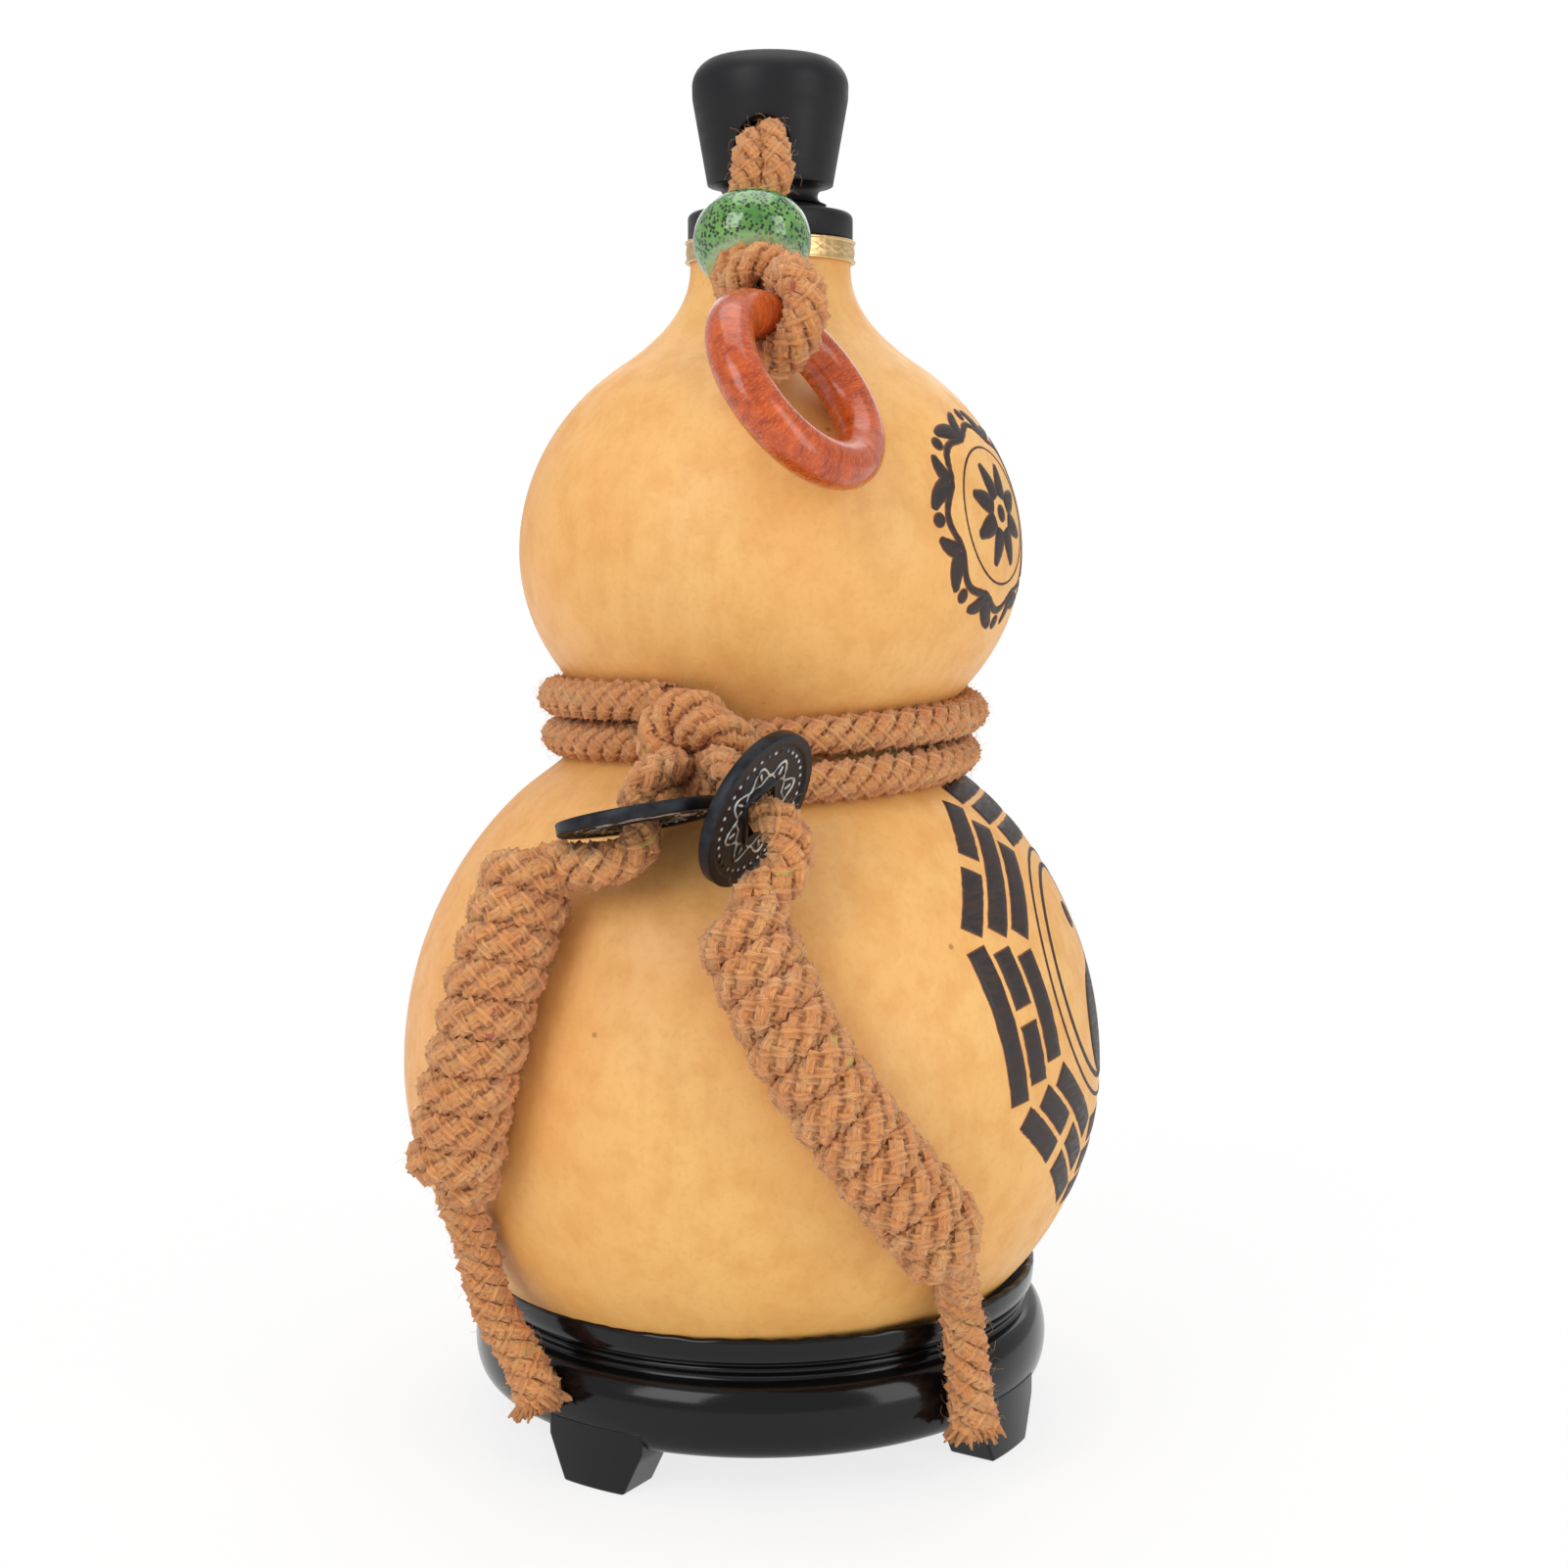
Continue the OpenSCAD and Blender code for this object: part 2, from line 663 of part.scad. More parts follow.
module lanyard_bead() {
  flat_r = 6.2;
  color([0.40, 0.60, 0.36])
    translate(bead_at)
      rotate(bead_turn)
        rotate_extrude($fn = round_fn)
          polygon(concat(
            [[bead_bore_r, -bead_h / 2]],
            [for (i = [0:18]) let (a = -90 + 10 * i)
              [flat_r + (bead_r - flat_r) * pow(max(cos(a), 0), 0.8), bead_h / 2 * sin(a)]],
            [[bead_bore_r, bead_h / 2]]
          ));
}

module pull_ring() {
  color([0.72, 0.34, 0.16])
    translate(ring_at)
      rotate(ring_turn)
        rotate_extrude($fn = round_fn)
          translate([ring_r, 0])
            circle(r = ring_wire, $fn = 32);
}

stand();
gourd_shell();
mouth_collar();
neck_band();
stopper();
stopper_seals();
lanyard_cord();
lanyard_bead();
pull_ring();
waist_cord();
waist_knot();
left_tail_cord();
left_winding();
left_coin();
right_tail_cord();
right_winding();
right_coin();
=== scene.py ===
"""A dried gourd water flask on its ring stand, with its stopper, cords, coins, bead and pull ring."""

import math

import bmesh
import bpy
import numpy as np
from bpy.props import FloatProperty, FloatVectorProperty, IntProperty, PointerProperty
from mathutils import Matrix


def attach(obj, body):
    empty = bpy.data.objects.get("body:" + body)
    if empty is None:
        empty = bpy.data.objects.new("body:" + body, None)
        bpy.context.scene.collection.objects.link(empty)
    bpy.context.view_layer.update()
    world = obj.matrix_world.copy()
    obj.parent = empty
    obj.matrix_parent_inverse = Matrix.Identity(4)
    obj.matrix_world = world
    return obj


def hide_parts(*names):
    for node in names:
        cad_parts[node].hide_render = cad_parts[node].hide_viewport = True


bl_info = {
    "name": "Gourd water flask",
    "version": (1, 0, 0),
    "blender": (4, 5, 0),
    "location": "3D View > Sidebar > Gourd flask",
    "description": "Builds a gourd flask with its cords, coins, bead, ring and stand",
    "category": "Object",
}

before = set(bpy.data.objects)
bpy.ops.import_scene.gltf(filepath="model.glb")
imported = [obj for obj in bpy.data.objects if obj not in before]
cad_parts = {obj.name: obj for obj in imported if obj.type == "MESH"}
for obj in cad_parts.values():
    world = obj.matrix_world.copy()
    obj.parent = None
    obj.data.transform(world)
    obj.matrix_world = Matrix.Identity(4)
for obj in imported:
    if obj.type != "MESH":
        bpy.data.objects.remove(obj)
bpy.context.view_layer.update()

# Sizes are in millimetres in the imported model's frame, and become metres in make_mesh
MM = 0.001
TURN = 2 * math.pi
UP = np.array([0.0, 0.0, 1.0])
CROWN_SHIFT = 3.6
STAND_SHIFT = 1.6
NECK_TOP = 223.0
NECK_R = 15.0
WAIST_Z = 131.5
WAIST_R = 32.6
BELLY = {"r": 66.9, "z": 67.9, "low": 61.0, "high": 69.3}
CROWN = {"r": 47.4, "z": 165.2, "low": 40.5, "high": 43.1}
BELLY_LEAVE_ANGLE = 48


# Lines and meshes


def unit(v):
    """Vectors along the last axis, made one long."""
    v = np.asarray(v, float)
    return v / np.maximum(np.linalg.norm(v, axis=-1, keepdims=True), 1e-12)


def in_mm(metres):
    """A setting that is kept in metres, as millimetres with a setting's own number of digits."""
    return float(np.float32(metres / MM))


def around(count):
    """Angles spread evenly round a circle."""
    return np.linspace(0, TURN, count, endpoint=False)


def heading(angle):
    """Flat directions at angles."""
    return np.stack([np.cos(angle), np.sin(angle)], -1)


def arc(centre, radius, start, end, steps):
    """Points of an arc in degrees; radius may be one number or two."""
    return np.asarray(centre) + np.asarray(radius) * heading(np.radians(np.linspace(start, end, steps)))


def tangents(path, closed=False):
    """Directions of a path at its points."""
    if closed:
        return unit(np.roll(path, -1, 0) - np.roll(path, 1, 0))
    return unit(np.gradient(path, axis=0))


def distances(path):
    """How far along a path each of its points lies."""
    return np.concatenate([[0], np.cumsum(np.linalg.norm(np.diff(np.asarray(path)[:, :3], axis=0), axis=1))])


def path_length(path):
    """Length of a path."""
    return float(distances(path)[-1])


def resample(values, s, at):
    """Rows of values known at distances s, read off at other distances."""
    return np.stack([np.interp(at, s, values[:, k]) for k in range(values.shape[1])], -1)


def smooth_path(points, step):
    """A smooth curve through points, resampled evenly; extra columns ride along."""
    p = np.asarray(points, float)
    padded = np.concatenate([p[:1], p, p[-1:]])
    t = np.linspace(0, 1, 24, endpoint=False)[:, None]
    parts = []
    for a, b, c, d in zip(padded, padded[1:], padded[2:], padded[3:]):
        parts.append(0.5 * (2 * b + (c - a) * t + (2 * a - 5 * b + 4 * c - d) * t**2
                            + (3 * b - a - 3 * c + d) * t**3))
    curve = np.concatenate(parts + [p[-1:]])
    s = distances(curve)
    return resample(curve, s, np.linspace(0, s[-1], max(2, int(round(s[-1] / step)) + 1)))


def path_frames(path, first=UP, closed=False):
    """Tangents and two normals at each point, carried along without twist."""
    p = np.asarray(path)[:, :3]
    t = tangents(p, closed)
    n = np.zeros_like(p)
    carried = np.asarray(first, float)
    for i in range(len(p)):
        carried = unit(carried - (carried @ t[i]) * t[i])
        n[i] = carried
    if closed:
        # The twist left over at the seam is spread over the whole loop
        end = unit(n[-1] - (n[-1] @ t[0]) * t[0])
        slip = math.atan2(np.cross(n[0], end) @ t[0], n[0] @ end)
        turn = -slip * np.arange(len(p))[:, None] / len(p)
        n = n * np.cos(turn) + np.cross(t, n) * np.sin(turn)
    return t, n, np.cross(t, n)


def make_mesh(name, points, faces, material, uv=None, smooth=True):
    """A mesh object from points in millimetres and faces; uv is one pair for each point."""
    mesh = bpy.data.meshes.new(name)
    faces = faces.tolist() if isinstance(faces, np.ndarray) else faces
    mesh.from_pydata((np.asarray(points, float) * MM).tolist(), [], faces)
    if uv is not None:
        layer = mesh.uv_layers.new(name="UVMap")
        loops = np.zeros(len(mesh.loops), np.int32)
        mesh.loops.foreach_get("vertex_index", loops)
        layer.data.foreach_set("uv", np.asarray(uv, np.float32)[loops].ravel())
    mesh.polygons.foreach_set("use_smooth", [smooth] * len(mesh.polygons))
    mesh.materials.append(material)
    mesh.update()
    piece = bpy.data.objects.new(name, mesh)
    bpy.context.scene.collection.objects.link(piece)
    return piece


def grid_faces(rows, columns, close_rows=False, close_columns=False):
    """Quads between the points of a grid counted row by row."""
    i = np.arange(rows if close_rows else rows - 1)[:, None]
    j = np.arange(columns if close_columns else columns - 1)[None, :]
    a = i * columns + j
    b = i * columns + (j + 1) % columns
    c = (i + 1) % rows * columns + (j + 1) % columns
    d = (i + 1) % rows * columns + j
    return np.stack([a, d, c, b], -1).reshape(-1, 4)


def clean(piece, gap=0.002):
    """Merges points nearer than a gap, such as a pole's, and points the faces outwards."""
    work = bmesh.new()
    work.from_mesh(piece.data)
    if gap:
        bmesh.ops.remove_doubles(work, verts=work.verts, dist=gap * MM)
    bmesh.ops.recalc_face_normals(work, faces=work.faces)
    work.to_mesh(piece.data)
    work.free()


def lathe(name, profile, material, axis_x=0.0, sides=192, dent=None, gap=0.002, mapped=True):
    """Turned shape about a vertical axis. The profile gives radius and height, and dent moves its points."""
    profile = np.asarray(profile, float)
    a = around(sides)
    r = np.repeat(profile[:, :1], sides, 1)
    z = np.repeat(profile[:, 1:2], sides, 1)
    if dent is not None:
        dr, dz = dent(a[None, :], r, z)
        r, z = r + dr, z + dz
    points = np.stack([axis_x + r * np.cos(a), r * np.sin(a), z], -1).reshape(-1, 3)
    uv = np.stack([np.repeat(a[None, :] / TURN, len(profile), 0), z / 50], -1).reshape(-1, 2)
    faces = grid_faces(len(profile), sides, close_columns=True)
    piece = make_mesh(name, points, faces, material, uv if mapped else None)
    clean(piece, gap)
    return piece


def apply_modifiers(piece):
    """Makes the piece's modifiers part of its mesh."""
    bpy.context.view_layer.update()
    shaped = piece.evaluated_get(bpy.context.evaluated_depsgraph_get())
    mesh = bpy.data.meshes.new_from_object(shaped)
    old = piece.data
    piece.modifiers.clear()
    piece.data = mesh
    bpy.data.meshes.remove(old)


def cut(piece, cutter):
    """Takes the cutter's shape out of a piece."""
    modifier = piece.modifiers.new("cut", "BOOLEAN")
    modifier.operation = "DIFFERENCE"
    modifier.object = cutter
    apply_modifiers(piece)
    bpy.data.objects.remove(cutter)


def soften(piece, width, segments, degrees, harden=False):
    """Rounds the edges that are sharper than an angle."""
    bevel = piece.modifiers.new("edge", "BEVEL")
    bevel.width = width * MM
    bevel.segments = segments
    bevel.limit_method = "ANGLE"
    bevel.angle_limit = math.radians(degrees)
    bevel.harden_normals = harden
    apply_modifiers(piece)


def turned(piece, centre, axis):
    """Moves a mesh built about the vertical axis so that it stands at a place on another axis."""
    axis = unit(axis)
    v = np.cross(UP, axis)
    skew = np.array([[0, -v[2], v[1]], [v[2], 0, -v[0]], [-v[1], v[0], 0]])
    turn = np.eye(3) + skew + skew @ skew / (1 + UP @ axis)
    mesh = piece.data
    co = np.empty(len(mesh.vertices) * 3, np.float32)
    mesh.vertices.foreach_get("co", co)
    co = co.reshape(-1, 3) @ turn.T + np.asarray(centre) * MM
    mesh.vertices.foreach_set("co", co.astype(np.float32).ravel())
    mesh.update()


def paint(piece, name, values):
    """Keeps one value for each point as a grey colour that a material can read."""
    layer = piece.data.color_attributes.new(name, "FLOAT_COLOR", "POINT")
    layer.data.foreach_set("color", np.repeat(np.asarray(values, np.float32), 4))


def ride(piece, body, slot, *nodes):
    """Puts a piece on its body, in place of the plain nodes; slot is not used."""
    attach(piece, body)
    if nodes:
        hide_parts(*nodes)
    return piece


# The gourd's outline


def cubic(z, a, b):
    """Radius between two heights, each given with its radius and slope."""
    h = b[0] - a[0]
    s = (z - a[0]) / h
    e = s * s * (3 - 2 * s)
    return (1 - e) * a[1] + e * b[1] + s * (1 - s) ** 2 * h * a[2] - s * s * (1 - s) * h * b[2]


def lobe_knot(lobe, degrees):
    """Height, radius and slope of a lobe at an angle from its widest ring."""
    t = math.radians(degrees)
    half = lobe["high"] if degrees > 0 else lobe["low"]
    return lobe["z"] + half * math.sin(t), lobe["r"] * math.cos(t), -lobe["r"] / half * math.tan(t)


BELLY_LEAVE = lobe_knot(BELLY, BELLY_LEAVE_ANGLE)
WAIST = (WAIST_Z, WAIST_R, 0)
CROWN_JOIN = lobe_knot(CROWN, -35)
CROWN_LEAVE = lobe_knot(CROWN, 54)
NECK = (NECK_TOP - 5, NECK_R, 0)


def lobe_radius(lobe, z):
    """Radius of a lobe at heights."""
    half = np.where(z > lobe["z"], lobe["high"], lobe["low"])
    return lobe["r"] * np.sqrt(np.clip(1 - ((z - lobe["z"]) / half) ** 2, 0, 1))


def gourd_radius(z):
    """Outer radius of the gourd at heights."""
    z = np.asarray(z, float)
    return np.select(
        [z < BELLY_LEAVE[0], z < WAIST_Z, z < CROWN_JOIN[0], z < CROWN_LEAVE[0], z < NECK[0]],
        [lobe_radius(BELLY, z), cubic(z, BELLY_LEAVE, WAIST), cubic(z, WAIST, CROWN_JOIN),
         lobe_radius(CROWN, z), cubic(z, CROWN_LEAVE, NECK)],
        NECK_R,
    )


def gourd_axis(z):
    """Sideways place of the gourd's axis at heights."""
    s = np.clip((np.asarray(z, float) - 126) / 14, 0, 1)
    return CROWN_SHIFT * s * s * (3 - 2 * s)


# Materials

LOOK = "look_"


def linear(colour):
    """A screen colour from 0 to 255, as linear light with full cover."""
    c = np.asarray(colour, float)[:3] / 255
    c = np.where(c <= 0.04045, c / 12.92, ((c + 0.055) / 1.055) ** 2.4)
    return (*c.tolist(), 1.0)


def to_bytes(colour):
    """A colour of linear light, as a screen colour from 0 to 255."""
    c = np.asarray(colour[:3], float)
    c = np.where(c <= 0.0031308, c * 12.92, 1.055 * np.power(c, 1 / 2.4) - 0.055)
    return tuple(float(v) for v in c * 255)


def feed(tree, socket, value):
    """Links an output to a socket, or sets the socket's value."""
    if isinstance(value, bpy.types.NodeSocket):
        tree.links.new(value, socket)
    else:
        socket.default_value = value


def tree_node(tree, kind, inputs=None, **settings):
    """Adds a node with its settings and feeds its inputs."""
    node = tree.nodes.new(kind)
    for key, value in settings.items():
        setattr(node, key, value)
    for socket, value in (inputs or {}).items():
        feed(tree, node.inputs[socket], value)
    return node


class Shader:
    """A material's nodes, with short ways to add nodes and set the surface."""

    def __init__(self, name, colour, roughness, **sockets):
        self.material = bpy.data.materials.new(LOOK + name)
        self.material.use_nodes = True
        self.tree = self.material.node_tree
        self.surface = self.tree.nodes["Principled BSDF"]
        self.surface.inputs["Base Color"].default_value = linear(colour)
        self.surface.inputs["Roughness"].default_value = roughness
        by_name = {socket.name.lower().replace(" ", "_"): socket for socket in self.surface.inputs}
        for label, value in sockets.items():
            by_name[label].default_value = value
        self.place = self.add("ShaderNodeTexCoord").outputs["Object"]
        self.uv = self.add("ShaderNodeTexCoord").outputs["UV"]

    def add(self, kind, inputs=None, **settings):
        return tree_node(self.tree, kind, inputs, **settings)

    def stretched(self, source, scale):
        return self.add("ShaderNodeMapping", {"Vector": source, "Scale": scale}).outputs["Vector"]

    def noise(self, vector, scale, detail=3.0, rough=0.55):
        inputs = {"Vector": vector, "Scale": scale, "Detail": detail, "Roughness": rough}
        return self.add("ShaderNodeTexNoise", inputs).outputs[0]

    def spots(self, vector, scale):
        return self.add("ShaderNodeTexVoronoi", {"Vector": vector, "Scale": scale}).outputs["Distance"]

    def painted(self, name):
        """A grey that paint left on the piece."""
        return self.add("ShaderNodeVertexColor", layer_name=name).outputs[0]

    def ramp(self, value, low, high, start=0.0, end=1.0):
        """value from low to high becomes start to end, clamped."""
        return self.add("ShaderNodeMapRange", {0: value, 1: low, 2: high, 3: start, 4: end}).outputs[0]

    def maths(self, operation, a, b=0.0):
        return self.add("ShaderNodeMath", {0: a, 1: b}, operation=operation).outputs[0]

    def mix(self, factor, a, b):
        """Screen colours or sockets, mixed by a factor."""
        a, b = (linear(c) if isinstance(c, tuple) else c for c in (a, b))
        return self.add("ShaderNodeMix", {0: factor, 6: a, 7: b}, data_type="RGBA").outputs[2]

    def colour(self, value):
        feed(self.tree, self.surface.inputs["Base Color"], value)

    def roughness(self, value):
        feed(self.tree, self.surface.inputs["Roughness"], value)

    def bump(self, height, strength, distance):
        node = self.add("ShaderNodeBump", {"Height": height, "Strength": strength, "Distance": distance})
        feed(self.tree, self.surface.inputs["Normal"], node.outputs[0])


def shared(name, maker, *values):
    """A material made once and found again by name."""
    return bpy.data.materials.get(LOOK + name) or maker(name, *values)


def gourd_skin(name, colour):
    """Dried skin: cloudy ochre, paler on the left and below, with streaks, pores and dark specks."""
    s = Shader(name, colour, 0.46, specular_ior_level=0.3, coat_weight=0.05, coat_roughness=0.3)
    streak = s.noise(s.stretched(s.place, (260, 260, 40)), 1.0, 4.0)
    cloud = s.noise(s.place, 42.0, 5.0, 0.62)
    mottle = s.noise(s.place, 170.0, 4.0, 0.6)
    fine = s.noise(s.place, 900.0, 2.0)
    side = s.add("ShaderNodeSeparateXYZ", {0: s.place})
    left = s.ramp(side.outputs[0], -0.01, -0.066, 0.0, 0.75)
    low = s.ramp(side.outputs[2], 0.085, 0.02, 0.0, 0.6)
    tone = s.mix(s.ramp(cloud, 0.40, 0.60), colour, (236, 178, 104))
    tone = s.mix(left, tone, (234, 166, 98))
    tone = s.mix(low, tone, (230, 176, 92))
    tone = s.mix(s.ramp(mottle, 0.46, 0.64, 0.0, 0.30), tone, (216, 150, 78))
    tone = s.mix(s.ramp(streak, 0.50, 0.66, 0.0, 0.16), tone, (212, 146, 76))
    tone = s.mix(s.ramp(fine, 0.50, 0.70, 0.0, 0.16), tone, (204, 136, 70))
    speck = s.ramp(s.spots(s.place, 85.0), 0.055, 0.03, 0.0, 0.6)
    speck = s.maths("MULTIPLY", speck, s.ramp(cloud, 0.52, 0.56))
    s.colour(s.mix(speck, tone, (140, 84, 40)))
    s.roughness(s.ramp(mottle, 0.35, 0.65, 0.38, 0.54))
    s.bump(fine, 0.10, 0.0004)
    return s.material


def burnt_line(name, colour, edge):
    """Skin scorched by a hot point, with a paler grain along it."""
    s = Shader(name, colour, 0.55)
    grain = s.noise(s.stretched(s.place, (300, 300, 1500)), 1.0, 2.0)
    s.colour(s.mix(s.ramp(grain, 0.4, 0.75), colour, edge))
    s.roughness(s.ramp(grain, 0.3, 0.7, 0.42, 0.68))
    return s.material


def cord_yarn(name, colour):
    """Cotton yarn with painted shade between the strands and where a strand passes under another, and a few
    yellow and red flecks.
    """
    s = Shader(name, colour, 0.95, specular_ior_level=0.15, sheen_weight=0.25, sheen_roughness=0.6)
    yarn = s.noise(s.stretched(s.uv, (9, 3.4, 1)), 1.0, 3.0, 0.6)
    hair = s.noise(s.stretched(s.uv, (60, 7, 1)), 1.0, 3.0)
    patch = s.noise(s.place, 210.0, 3.0)
    tone = s.mix(s.ramp(yarn, 0.3, 0.7), (232, 150, 84), colour)
    tone = s.mix(s.ramp(patch, 0.45, 0.72, 0.0, 0.5), tone, (255, 206, 140))
    tone = s.mix(s.ramp(hair, 0.50, 0.72, 0.0, 0.5), tone, (176, 100, 50))
    # Painted shade: darker in the valleys between the strands and where a strand dips under another
    tone = s.mix(s.ramp(s.painted("painted_shade_height"), 0.66, 0.14, 0.0, 0.86), tone, (150, 78, 38))
    near = s.ramp(s.spots(s.stretched(s.uv, (3.0, 1.1, 1)), 1.0), 0.17, 0.12)
    kind = s.noise(s.place, 75.0, 0.0)
    yellow = s.maths("MULTIPLY", near, s.ramp(kind, 0.635, 0.645))
    red = s.maths("MULTIPLY", near, s.ramp(kind, 0.355, 0.345))
    tone = s.mix(yellow, tone, (222, 184, 92))
    s.colour(s.mix(red, tone, (196, 100, 80)))
    s.bump(s.maths("ADD", yarn, hair), 0.8, 0.0007)
    return s.material


def fibre_pale(name, colour):
    """Loose fibres, paler than the cord."""
    return Shader(name, colour, 0.9, specular_ior_level=0.1, sheen_weight=0.2).material


def plain_plastic(name, colour, roughness, coat=0.0):
    """Moulded plastic with a fine grain and faint scuffs."""
    s = Shader(name, colour, roughness, specular_ior_level=0.26, coat_weight=coat, coat_roughness=0.05)
    grain = s.noise(s.place, 900.0, 2.0)
    scuff = s.noise(s.stretched(s.place, (40, 40, 260)), 1.0, 4.0)
    s.roughness(s.ramp(scuff, 0.3, 0.75, roughness * 0.85, roughness * 1.3))
    s.bump(grain, 0.05, 0.0002)
    return s.material


def band_brass(name, colour):
    """Thin brass, brushed round the neck."""
    s = Shader(name, colour, 0.32, metallic=1.0)
    brush = s.noise(s.stretched(s.place, (700, 700, 30)), 1.0, 3.0)
    s.colour(s.mix(s.ramp(brush, 0.35, 0.7), (214, 178, 120), colour))
    s.roughness(s.ramp(brush, 0.3, 0.7, 0.24, 0.44))
    return s.material


def ring_wood(name, colour):
    """Reddish wood with its grain along the ring, under a thin varnish."""
    s = Shader(name, colour, 0.3, specular_ior_level=0.35, coat_weight=0.45, coat_roughness=0.12)
    grain = s.noise(s.stretched(s.uv, (5, 60, 1)), 1.0, 5.0, 0.65)
    fine = s.noise(s.stretched(s.uv, (30, 300, 1)), 1.0, 3.0)
    tone = s.mix(s.ramp(grain, 0.35, 0.68), (150, 52, 20), colour)
    s.colour(s.mix(s.ramp(fine, 0.5, 0.75, 0.0, 0.6), tone, (232, 128, 52)))
    s.roughness(s.ramp(fine, 0.3, 0.7, 0.2, 0.36))
    s.bump(fine, 0.12, 0.0002)
    return s.material


def bead_glaze(name, colour):
    """Green glaze with dark pits, worn pale at the bead's two ends."""
    s = Shader(name, colour, 0.08, coat_weight=0.7, coat_roughness=0.04)
    across = s.add("ShaderNodeVectorMath", {0: s.place, 1: (BEAD_AT * MM).tolist()}, operation="SUBTRACT")
    height = s.add("ShaderNodeVectorMath", {0: across.outputs[0], 1: BEAD_AXIS.tolist()},
                   operation="DOT_PRODUCT")
    level = s.maths("ABSOLUTE", height.outputs["Value"])
    pits = s.ramp(s.spots(s.place, 1350.0), 0.52, 0.36)
    cloud = s.noise(s.place, 260.0, 3.0)
    tone = s.mix(s.ramp(cloud, 0.35, 0.65), (70, 128, 56), colour)
    tone = s.mix(s.maths("MULTIPLY", pits, s.ramp(cloud, 0.2, 0.4)), tone, (12, 40, 10))
    s.colour(s.mix(s.ramp(level, 0.0046, 0.0060), tone, (170, 196, 150)))
    s.bump(pits, 0.15, 0.0002)
    return s.material


def coin_iron(name, colour):
    """Dark iron, rubbed pale where the relief stands up."""
    s = Shader(name, colour, 0.42, metallic=0.7)
    cloud = s.noise(s.place, 420.0, 4.0)
    tone = s.mix(s.ramp(cloud, 0.42, 0.72), colour, (52, 55, 60))
    rubbed = s.maths("MULTIPLY", s.painted("worn"), s.ramp(cloud, 0.30, 0.52))
    s.colour(s.mix(s.ramp(rubbed, 0.15, 0.75), tone, (206, 206, 202)))
    s.roughness(s.ramp(cloud, 0.3, 0.7, 0.34, 0.58))
    s.bump(cloud, 0.2, 0.0003)
    return s.material


def floor_white(name):
    """A pale floor that shows white to the camera and in reflections, and keeps a faint shadow."""
    s = Shader(name, to_bytes((0.92, 0.92, 0.92)), 0.9)
    rays = s.add("ShaderNodeLightPath").outputs
    seen = s.maths("MAXIMUM", rays["Is Camera Ray"], rays["Is Glossy Ray"])
    reach = s.add("ShaderNodeVectorMath", {0: s.place}, operation="LENGTH").outputs["Value"]
    share = s.maths("MULTIPLY", seen, s.ramp(reach, 0.05, 0.30, 0.80, 1.0))
    glow = s.add("ShaderNodeEmission")
    mixed = s.add("ShaderNodeMixShader", {0: share, 1: s.surface.outputs[0], 2: glow.outputs[0]})
    feed(s.tree, s.tree.nodes["Material Output"].inputs["Surface"], mixed.outputs[0])
    return s.material


# The gourd and what is burnt into its skin


def build_gourd(settings):
    """The gourd's skin, its neck and its hollow inside."""
    skin = shared("gourd_skin", gourd_skin, to_bytes(settings.skin_colour))
    wall, mouth, floor, edge = 4.08, 11.56, 9.5, 0.6
    low = np.linspace(-90, BELLY_LEAVE_ANGLE, 90)
    half = np.where(low > 0, BELLY["high"], BELLY["low"])
    belly = np.stack([BELLY["r"] * np.cos(np.radians(low)), BELLY["z"] + half * np.sin(np.radians(low))], -1)
    outer_z = np.linspace(BELLY_LEAVE[0] + 0.8, NECK_TOP - edge, 130)
    outer = np.stack([gourd_radius(outer_z), outer_z], -1)
    rim = arc((NECK_R - edge, NECK_TOP - edge), edge, 10, 90, 4)
    inner_z = np.linspace(NECK_TOP - 1, 12, 90)
    inner = np.stack([np.maximum(gourd_radius(inner_z) - wall, 0.5), inner_z], -1)
    inner[:8, 0] = mouth
    profile = np.concatenate([belly, outer, rim, inner, [[0, floor]]])
    piece = lathe("gourd_body", profile, skin, gourd_axis(profile[:, 1:]), 224, gap=0.01, mapped=False)
    ride(piece, "gourd", "gourd_skin", "gourd_shell")


def drape(flat, lobe, azimuth, height, lift):
    """Points drawn on a flat sheet, laid on a lobe: right and up from the sheet's middle, in millimetres."""
    up_angle = math.asin((height - lobe["z"]) / (lobe["high"] if height > lobe["z"] else lobe["low"]))
    face = np.array([math.cos(up_angle) * math.cos(azimuth), math.cos(up_angle) * math.sin(azimuth),
                     math.sin(up_angle)])
    right = np.array([-math.sin(azimuth), math.cos(azimuth), 0.0])
    up = np.cross(face, right)
    reach = np.linalg.norm(flat, axis=-1, keepdims=True)
    angle = reach / lobe["r"]
    side = (flat[..., :1] * right + flat[..., 1:] * up) / np.maximum(reach, 1e-9)
    way = np.cos(angle) * face + np.sin(angle) * side
    half = np.where(way[..., 2:] > 0, lobe["high"], lobe["low"])
    size = np.concatenate([np.full(way.shape[:-1] + (2,), lobe["r"]), half], -1)
    points = way / np.linalg.norm(way / size, axis=-1, keepdims=True)
    z = points[..., 2] + lobe["z"]
    round_way = unit(points[..., :2])
    slope = (gourd_radius(z + 0.1) - gourd_radius(z - 0.1)) / 0.2
    normal = unit(np.concatenate([round_way, -slope[..., None]], -1))
    skin = np.concatenate([gourd_radius(z)[..., None] * round_way, z[..., None]], -1)
    skin[..., 0] += gourd_axis(z)
    return skin + lift[..., None] * normal


# Heights over the skin: a stroke's edges sink in, and its middle stands up
SUNK = -0.25
RAISED = 0.10
STROKE_ACROSS = np.array([-1.0, -0.9, -0.45, 0.0, 0.45, 0.9, 1.0])
STROKE_LIFT = np.array([SUNK, 0.07, 0.12, 0.13, 0.12, 0.07, SUNK])


